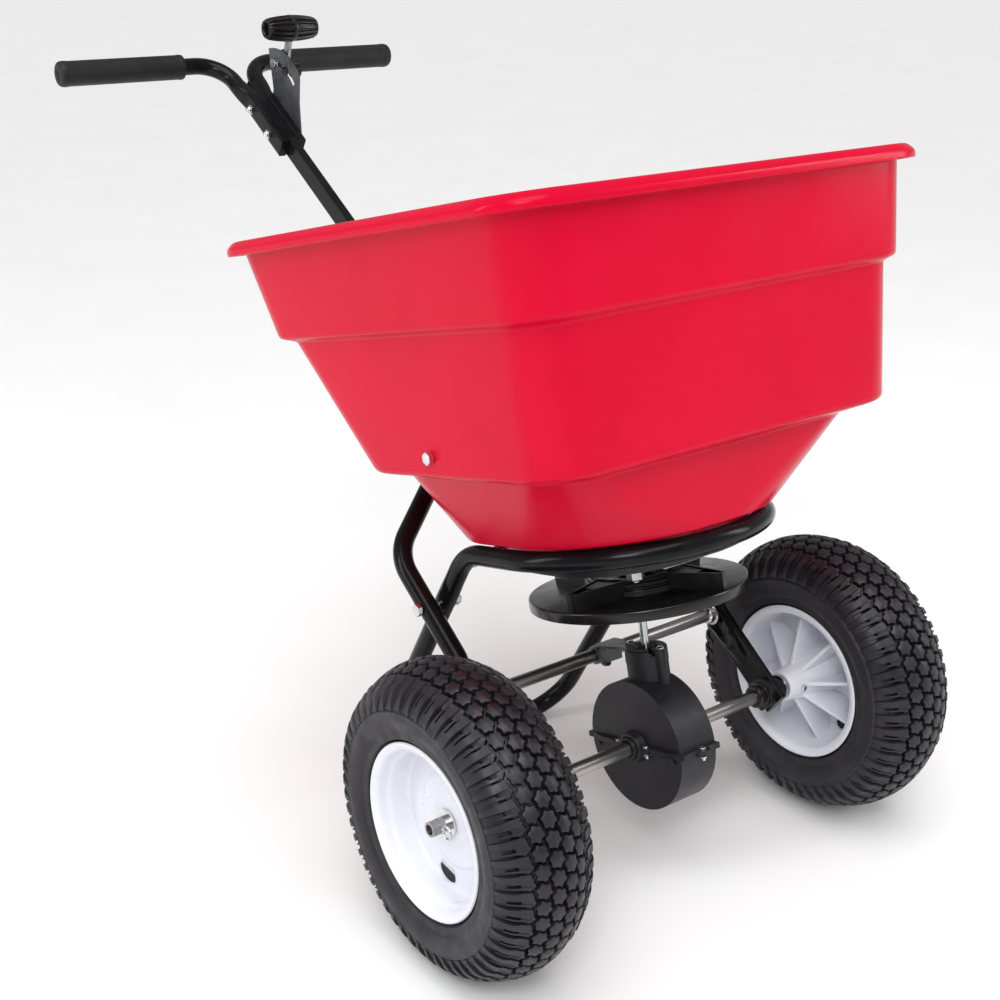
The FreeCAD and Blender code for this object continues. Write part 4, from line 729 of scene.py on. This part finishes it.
def d_prism(low, high, size):
    """A prism along the axle with a D-shaped section, its straight side towards the hub."""
    turns = [math.radians(degrees) for degrees in range(-35, 216, 10)]
    outline = [(14.0 * size * math.cos(turn), 9.5 * size * math.sin(turn)) for turn in turns]
    count = len(outline)
    verts = [(along, across, -VALVE_PLACE - drop)
             for along in (low, high) for across, drop in outline]
    return moved((verts, prism_faces(count)), Matrix.Rotation(-VALVE_TURN, 4, "X"))


def make_rim(name):
    """The two-faced plastic wheel: dished outside, ribbed inside."""
    body = WHEEL_BODY[name]
    rim = piece(f"{name}_wheel", *rounded_ring(RIM_OUTLINE, 4, 128), WHEEL[name], body, WHITE,
                [f"{name}_rim"], "white_rim", sharp=40)
    cutter = piece(f"{name}_cutter", *d_prism(-14, 24, 1.0), WHEEL[name], body, WHITE)
    hole = rim.modifiers.new("valve_opening", "BOOLEAN")
    hole.operation = "DIFFERENCE"
    hole.object = cutter
    hole.solver = "EXACT"
    bpy.context.view_layer.update()
    evaluated = rim.evaluated_get(bpy.context.evaluated_depsgraph_get())
    cut = bpy.data.meshes.new_from_object(evaluated)
    rim.modifiers.clear()
    rim.data = cut
    bpy.data.objects.remove(cutter)
    verts = [(x, y * (1.0 + 0.25 * (1 - (r - 20) / 61)), r)
             for y in (-WEB_HALF, WEB_HALF) for x, r in WEB_SHAPE]
    web = verts, prism_faces(len(WEB_SHAPE))
    webs = [moved(web, Matrix.Rotation(2 * math.pi * index / WEBS, 4, "X"))
            for index in range(WEBS)]
    piece(f"{name}_webs", *join(webs), WHEEL[name], body, WHITE, slot="white_rim", sharp=30,
          bevel=1.0)


# ---- spinning disc -----------------------------------------------------------------------

DISC_TOP = 174.0
VANE_TOP = 192.0
VANE_REACH = 112.6


def upright(start, end, half, low, high):
    """A wall standing on the disc from one point to another."""
    start, end = Vector(start), Vector(end)
    aside = (end - start).normalized().orthogonal() * half
    corners = [start + aside, start - aside, end - aside, end + aside]
    verts = [(point.x, point.y, level) for level in (low, high) for point in corners]
    return verts, prism_faces(4)


def around(radius, degrees):
    turn = math.radians(degrees)
    return radius * math.cos(turn), radius * math.sin(turn)


def make_disc():
    """The moulded disc: a turned-down rim, a stepped drum and four wedge-shaped vanes."""
    outline = [(153.2, 4.8, 0), (153.2, 12.5, 1), (166, 15, 4), (171, 30, 4), (171, 112, 5),
               (165, 115.8, 3), (162.2, 116.0, 0.6), (162.2, 118.6, 0.8), (172.6, 118.7, 1.0),
               (174, 117.6, 0.8), (174, 57.6, 0.8), (180.2, 57.2, 1.0), (180.6, 54.6, 0.5),
               (182.4, 54.4, 0.5), (182.8, 56.0, 0.8), (187.0, 55.4, 0.8), (187.4, 52.4, 0.5),
               (189.0, 52.2, 0.5), (189.4, 53.6, 0.6), (191.6, 52.6, 0.8), (191.6, 46, 1),
               (186, 40, 2), (185, 22, 3), (192, 12, 1.5), (192, 4.8, 0), (153.2, 4.8, 0)]
    parts = [rounded_ring(outline, 3, 160, axis="Z")]
    low, top = DISC_TOP - 0.5, VANE_TOP - 0.3
    for index in range(4):
        turn = 10 + 90 * index
        tip, heel = around(VANE_REACH, turn), around(VANE_REACH, turn + 3)
        near, far = around(52, turn + 29), around(52, turn - 13)
        parts += [upright(tip, far, 1.3, low, top), upright(heel, near, 1.3, low, top),
                  upright(tip, heel, 1.3, low, top)]
        roof = [around(82, turn + 9), around(82, turn - 2), around(50, turn - 12),
                around(50, turn + 27)]
        verts = [(*point, level) for level in (top - 3.6, top - 1.2) for point in roof]
        parts.append((verts, prism_faces(4)))
    piece("spreading_disc", *join(parts), CHASSIS, "spinner", GLOSSY_BLACK, ["impeller"],
          "black_plastic", sharp=35, bevel=0.5)


# ---- hardware ----------------------------------------------------------------------------

STANDOFF_PLACE = (-48, -56, 0.3)
AXLE_PIN_PLACE = 295.0
AXLE_PIN_ANGLE = math.radians(100)
HUB_PIN_PLACE = 211.0
HUB_PIN_ANGLE = math.radians(98)
COLLAR_POINTS = 53
COLLAR_SCREW = 24
FLANGE_POINTS = 64
SQUARENESS = 4.2


def soften(node, width, look, sharp=28, reach=None):
    """A CAD piece with its edges rounded; reach draws it in towards the spinner's axis."""
    source = frame["nodes"][node]
    mesh = source.data.copy()
    made = bmesh.new()
    made.from_mesh(mesh)
    bmesh.ops.remove_doubles(made, verts=made.verts, dist=2e-6)
    if reach:
        for vert in made.verts:
            spot = CHASSIS.inverted() @ vert.co
            far = math.hypot(spot.x, spot.y)
            if far > reach:
                vert.co = CHASSIS @ Vector((spot.x * reach / far, spot.y * reach / far, spot.z))
        bmesh.ops.remove_doubles(made, verts=made.verts, dist=2e-5)
    bmesh.ops.dissolve_limit(made, angle_limit=math.radians(0.6), verts=made.verts,
                             edges=made.edges)
    made.to_mesh(mesh)
    made.free()
    return finish_mesh(f"{node}_soft", mesh, source["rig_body"], look, [node], sharp, width)


def make_hardware():
    for node, width, look, slot in (
            ("gearbox_upper", 2.4, MOULDED, "black_plastic"),
            ("gearbox_lower", 2.4, MOULDED, "black_plastic"),
            ("axle_bush_left", 1.0, GLOSSY_BLACK, "black_plastic"),
            ("axle_bush_right", 1.0, GLOSSY_BLACK, "black_plastic"),
            ("handle_post", 1.6, BLACK, "black_frame"),
            ("gauge_plate", 0.35, DARK_PLATE, "dark_plate"),
            ("gate_lever", 0.5, STAMPED, "stamped_steel"),
            ("gate_plate", 0.4, STAMPED, "stamped_steel"),
            ("gate_guides", 0.4, STAMPED, "stamped_steel"),
            ("rate_stop", 0.6, GLOSSY_BLACK, "knob_plastic"),
            ("axle_washers", 0.4, ZINC, "zinc_hardware")):
        soften(node, width, look)
    soften("base_plate", 0.5, BLACK, reach=103)
    for node in ("cross_rod_bolts", "clamp_bolts", "rail_post_bolt", "handle_bolts", "gauge_screw",
                 "gearbox_screws", "base_screws", "hopper_tie_rod"):
        soften(node, 0.45, ZINC)
    for node, look in (("cross_rod", STEEL), ("axle", STEEL), ("spinner_shaft", ZINC),
                       ("control_rod", STEEL), ("agitator", STEEL),
                       ("impeller_pin", ZINC), ("crown_gear", NYLON), ("pinion", NYLON)):
        mesh = frame["nodes"][node].data
        mesh.materials.clear()
        mesh.materials.append(look)


def make_standoff():
    """The hexagon nut and stud that hang from the base plate in front of the drum."""
    nut = post([(195.2, 0.01), (195.2, 8.4), (196.4, 10.0), (207.6, 10.0), (208.6, 9.0),
                (208.6, 0.01)], 6)
    stud = post([(192.6, 0.01), (192.6, 3.4), (193.2, 4.0), (195.4, 4.0), (195.4, 0.01)], 24)
    piece("gate_standoff", *moved(join([nut, stud]), Matrix.Translation(STANDOFF_PLACE)),
          CHASSIS, "frame", ZINC, slot="zinc_hardware", bevel=0.5)


def make_axle_pins():
    """The ring pins through the two ends of the axle."""
    turns = [2 * math.pi * index / 12 for index in range(12)]
    wire = [(1.5 * math.cos(turn), 7.0 + 1.5 * math.sin(turn)) for turn in turns]
    rod = post([(-11.6, 0.01), (-12, 1.2), (-11, 1.9), (12.5, 1.9), (12.5, 0.01)], 20)
    ring = moved(lathe(wire, 40), Matrix.Translation((0, 0, 16.5)))
    parts = []
    for place in (-AXLE_PIN_PLACE, AXLE_PIN_PLACE):
        turned = Matrix.Translation((place, 0, 0)) @ Matrix.Rotation(AXLE_PIN_ANGLE, 4, "X")
        parts.append(moved(join([rod, ring]), turned))
    piece("axle_ring_pins", *join(parts), CHASSIS, "axle", ZINC, ["hair_pins"],
          "zinc_hardware")


def make_floor_pan():
    """The black moulded ring that cups the foot of the tub."""
    levels = [(216.8, -20.0), (216.2, -20.0), (216.2, 0.2), (213.0, 0.2), (213.0, 1.4),
              (228.0, 1.8), (228.6, 0.8), (216.8, 0.5)]
    foot, above = TIERS[0], TIERS[1]
    rings = []
    for height, grow in levels:
        part = max(0.0, (height - foot[0]) / (above[0] - foot[0]))
        sizes = [mix(low, high, part) + grow for low, high in zip(foot[1:-1], above[1:-1])]
        rings.append(hopper_loop(height, *sizes))
    verts = [vert for ring in rings for vert in ring]
    piece("floor_pan", verts, grid_faces(len(rings), len(rings[0]), wrap_rows=True), CHASSIS,
          "frame", MOULDED, slot="black_plastic", sharp=40)


def make_valves():
    """The rubber valve of each wheel, and a D-shaped block of dark valve rubber set back in the
    rim's D opening: painted shade standing in for the dark inside of the hole.
    """
    outline = [(-79.6, 0.01), (-79.6, 7.6), (-76.5, 7.2), (-73.5, 5.6), (-71, 4.6),
               (-57, 4.2), (-56.4, 3.4), (-51.5, 3.4), (-51, 2.8), (-51, 0.01)]
    stem = post(outline, 32)
    for name, along in (("drive", 24.0), ("free", -14.0)):
        turned = Matrix.Rotation(-VALVE_TURN, 4, "X") @ Matrix.Translation((along, 0, 0))
        # the D-shaped block is painted shade: a dark sheet filling the valve hole, where the real
        # wheel shows only shadow
        parts = [moved(stem, turned), d_prism(4.6, 9.4, 0.985)]
        piece(f"{name}_valve_stem_and_shade_plug", *join(parts), WHEEL[name], WHEEL_BODY[name], VALVE,
              [f"{name}_valve"], "valve_rubber")


def make_hub_pin():
    """The pin that locks the driven wheel's hub to the axle."""
    outline = [(-24.6, 0.01), (-24.6, 3.2), (-23.8, 4.0), (-21.6, 4.2), (-21.4, 2.4), (21.0, 2.4),
               (21.2, 3.8), (23.4, 3.8), (24.2, 3.0), (24.2, 0.01)]
    pin = post(outline, 28)
    turned = Matrix.Translation((HUB_PIN_PLACE, 0, 0)) @ Matrix.Rotation(HUB_PIN_ANGLE, 4, "X")
    piece("hub_pin", *moved(pin, turned), CHASSIS, "axle", ZINC, ["drive_pin"], "zinc_hardware")


def make_gear_collar():
    """The clamp on top of the gear case: a slotted collar with two screw lugs."""
    ring = []
    for radius, height in ((13.5, 88.0), (13.5, 103.0), (14.3, 104.0), (21.6, 104.0),
                           (23.2, 102.6), (23.6, 88.0)):
        for index in range(COLLAR_POINTS):
            turn = math.radians(-146 + 344 * index / (COLLAR_POINTS - 1))
            ring.append((radius * math.sin(turn), radius * math.cos(turn), height))
    faces = grid_faces(6, COLLAR_POINTS, wrap_rows=True, wrap_columns=False)
    faces += [tuple(range(first, len(ring), COLLAR_POINTS)) for first in (0, COLLAR_POINTS - 1)]
    parts = [(ring, faces)]
    lug = post([(66, 0.01), (66, 5.6), (72, 6.6), (103.2, 6.8), (104.2, 6.0), (104.2, 0.01)], 28)
    for back in (-COLLAR_SCREW, COLLAR_SCREW):
        parts.append(moved(lug, Matrix.Translation((0, back, 0))))
    piece("gear_collar", *join(parts), CHASSIS, "frame", MOULDED, slot="black_plastic", sharp=40,
          bevel=0.4)
    head = post([(104.1, 0.01), (104.1, 4.1), (105.4, 4.1), (106.6, 3.2), (107.0, 1.6),
                 (106.2, 1.2), (106.2, 0.01)], 28)
    screws = [moved(head, Matrix.Translation((0, back, 0)))
              for back in (-COLLAR_SCREW, COLLAR_SCREW)]
    piece("collar_screws", *join(screws), CHASSIS, "frame", ZINC, ["bracket_screws"],
          "zinc_hardware")


def make_bracket():
    """The pressed strap from the collar back to the cross rod, which it is rolled round."""
    rod = cross_rod_place()
    outline = [(-15, rod.y - 3), (-15, rod.y - 16), (-8.5, 34), (-8.5, 22), (8.5, 22), (8.5, 34),
               (15, rod.y - 16), (15, rod.y - 3)]
    verts = [(x, y, z) for z in (97.2, 100.2) for x, y in outline]
    parts = [(verts, prism_faces(len(outline)))]
    sleeve = [(-15, 7.7, 0), (-15, 10.6, 0.8), (15, 10.6, 0.8), (15, 7.7, 0), (-15, 7.7, 0)]
    parts.append(moved(rounded_ring(sleeve, 3, 56), Matrix.Translation(rod)))
    parts.append(slab((-15, rod.y - 13, 78), (15, rod.y - 10.4, 99)))
    nut = post([(-4, 0.01), (-4, 5.2), (1.5, 5.2), (2.4, 4.4), (2.4, 0.01)], 6)
    under = Matrix.Translation((0, rod.y - 2, rod.z - 13)) @ Matrix.Rotation(math.pi, 4, "X")
    parts.append(moved(nut, under))
    piece("bracket_strap", *join(parts), CHASSIS, "frame", DARK_PLATE, ["gearbox_bracket"],
          "dark_plate", sharp=30, bevel=0.6)


def make_case_trim():
    """The split flange that runs round the gear case, its gussets, and the shaft boss."""
    middle, half_long, half_deep = -7.0, 32.0, 79.0
    rows = []
    for level, inset in ((-3.6, 0.9), (-2.7, 0), (2.7, 0), (3.6, 0.9)):
        for index in range(FLANGE_POINTS):
            angle = 2 * math.pi * index / FLANGE_POINTS
            x, y = math.cos(angle), math.sin(angle)
            power = 2 / SQUARENESS
            rows.append((middle + math.copysign(abs(x) ** power, x) * (half_long - inset),
                         math.copysign(abs(y) ** power, y) * (half_deep - inset), level))
    faces = grid_faces(4, FLANGE_POINTS)
    faces += [tuple(range(FLANGE_POINTS)), tuple(range(3 * FLANGE_POINTS, 4 * FLANGE_POINTS))]
    parts = [(rows, faces)]
    ear = post([(-3.1, 0.01), (-3.1, 8.4), (-2.4, 9.2), (2.4, 9.2), (3.1, 8.4), (3.1, 0.01)], 32)
    for back in (-78, 78):
        parts.append(moved(ear, Matrix.Translation((middle, back, 0))))
    for side in (-1, 1):
        start, end = middle + side * 24, middle + side * 30
        for back in (-20, 20, -60, 60):
            gusset = [(start, back - 1.3, -2.5), (end, back - 1.3, -2.5),
                      (start, back - 1.3, -13), (start, back + 1.3, -2.5),
                      (end, back + 1.3, -2.5), (start, back + 1.3, -13)]
            parts.append((gusset, [(0, 1, 2), (3, 5, 4), (0, 3, 4, 1), (1, 4, 5, 2),
                                   (2, 5, 3, 0)]))
    boss = [(-30, 8.6, 0), (-30, 18.5, 0), (-36, 17.2, 1.5), (-41.5, 16.2, 1), (-41.5, 12.9, 0.6),
            (-39.6, 12.6, 0.6), (-44.6, 12.0, 0.6), (-44.6, 9.6, 0.6), (-41, 8.6, 0),
            (-30, 8.6, 0)]
    turned = rounded_ring(boss, 3, 64)
    far_side = Matrix.Translation((2 * middle, 0, 0)) @ Matrix.Rotation(math.pi, 4, "Z")
    parts += [turned, moved(turned, far_side)]
    piece("case_trim", *join(parts), CHASSIS, "frame", MOULDED, slot="black_plastic", sharp=35,
          bevel=0.5)


def make_axle_trim():
    """Ribbed plastic collars on the bushes, and the round nuts on the cross rod's ends."""
    collar = [(150, 8.4, 0), (150, 12.6, 0.6), (154, 13.6, 0.8), (155, 11.6, 0.5),
              (158, 11.6, 0.5), (158.6, 15.2, 0.6), (161.4, 15.8, 0.6), (162, 12.6, 0.5),
              (164, 12.6, 0.5), (164.6, 16.4, 0.6), (169.6, 17.4, 0.6), (169.6, 8.4, 0),
              (150, 8.4, 0)]
    nut = [(157, 7.6, 0), (157, 9.0, 0.5), (160, 10.4, 0.8), (166, 10.4, 0.6), (166.4, 13.2, 0.5),
           (169.7, 13.2, 0.5), (169.7, 7.6, 0), (157, 7.6, 0)]
    rod = Matrix.Translation(cross_rod_place())
    for side, name in ((-1, "left"), (1, "right")):
        flip = Matrix.Scale(side, 4, (1, 0, 0))
        piece(f"bush_collar_{name}", *moved(rounded_ring(collar, 2, 64), flip), CHASSIS, "frame",
              GLOSSY_BLACK, slot="black_plastic")
        piece(f"rod_nut_{name}", *moved(rounded_ring(nut, 2, 48), rod @ flip), CHASSIS, "frame",
              ZINC, slot="zinc_hardware")


# ---- stage, in metres --------------------------------------------------------------------

FLOOR_HALF = 90
FLOOR_LEVEL = -0.0005
# solved from the photo: place from the middle of the axle, and the way it looks
CAMERA_PLACE = (-1.03605, -1.07342, 0.83574)
CAMERA_HEADING = (0.567635, 0.743977, -0.352547)
CAMERA_LENS = 55.186


def area(name, place, aim, size, power, colour=(1, 1, 1)):
    light = bpy.data.lights.new(name, "AREA")
    light.shape = "RECTANGLE"
    light.size, light.size_y = size
    light.energy = power
    light.color = colour
    obj = bpy.data.objects.new(name, light)
    bpy.context.scene.collection.objects.link(obj)
    obj.location = place
    obj.rotation_euler = (Vector(aim) - Vector(place)).to_track_quat("-Z", "Y").to_euler()
    obj.visible_camera = False


def make_stage():
    scene = bpy.context.scene
    scene.view_settings.view_transform = "Standard"
    scene.view_settings.look = "None"
    world = bpy.data.worlds.new("studio")
    scene.world = world
    world.use_nodes = True
    world.node_tree.nodes["Background"].inputs["Color"].default_value = (1, 1, 1, 1)
    world.node_tree.nodes["Background"].inputs["Strength"].default_value = 0.36
    floor = bpy.data.meshes.new("floor")
    far = FLOOR_HALF
    corners = [(-far, -far, 0), (far, -far, 0), (far, far, 0), (-far, far, 0)]
    floor.from_pydata(corners, [], [(0, 1, 2, 3)])
    ground = bpy.data.objects.new("floor", floor)
    scene.collection.objects.link(ground)
    ground.location.z = FLOOR_LEVEL
    paint = surface("pale_floor", (0.93, 0.93, 0.93), (0.95, 0.95, 0.95), (0.6, 0.75),
                    tone_scale=2, grain=400, grain_depth=0.00005)
    floor.materials.append(paint)
    sun = bpy.data.lights.new("overhead", "SUN")
    sun.energy = 1.95
    sun.angle = math.radians(50)
    high = bpy.data.objects.new("overhead", sun)
    scene.collection.objects.link(high)
    high.rotation_euler = (math.radians(16), math.radians(-14), 0)
    area("key", (-2.0, -2.3, 2.4), (0, -0.1, 0.45), (1.0, 1.0), 34)
    area("side", (-2.6, 0.9, 1.5), (0, 0, 0.5), (0.5, 2.0), 20)
    area("rim", (2.4, -1.9, 1.6), (0, -0.1, 0.4), (0.6, 1.8), 24)


def make_camera():
    camera = bpy.data.cameras.new("camera")
    camera.sensor_width = 36
    camera.lens = CAMERA_LENS
    obj = bpy.data.objects.new("camera", camera)
    bpy.context.scene.collection.objects.link(obj)
    obj.location = AXLE + Vector(CAMERA_PLACE)
    obj.rotation_euler = Vector(CAMERA_HEADING).to_track_quat("-Z", "Y").to_euler()
    bpy.context.scene.camera = obj


make_stage()
make_camera()
make_hopper()
make_stand()
for side, name in ((-1, "left"), (1, "right")):
    make_side_rail(side, name)
    make_handlebar(side, name)
make_knob()
for name in ("free", "drive"):
    make_tyre(name)
    make_rim(name)
make_disc()
make_standoff()
make_floor_pan()
make_valves()
make_hub_pin()
make_axle_pins()
make_gear_collar()
make_bracket()
make_case_trim()
make_axle_trim()
make_hardware()
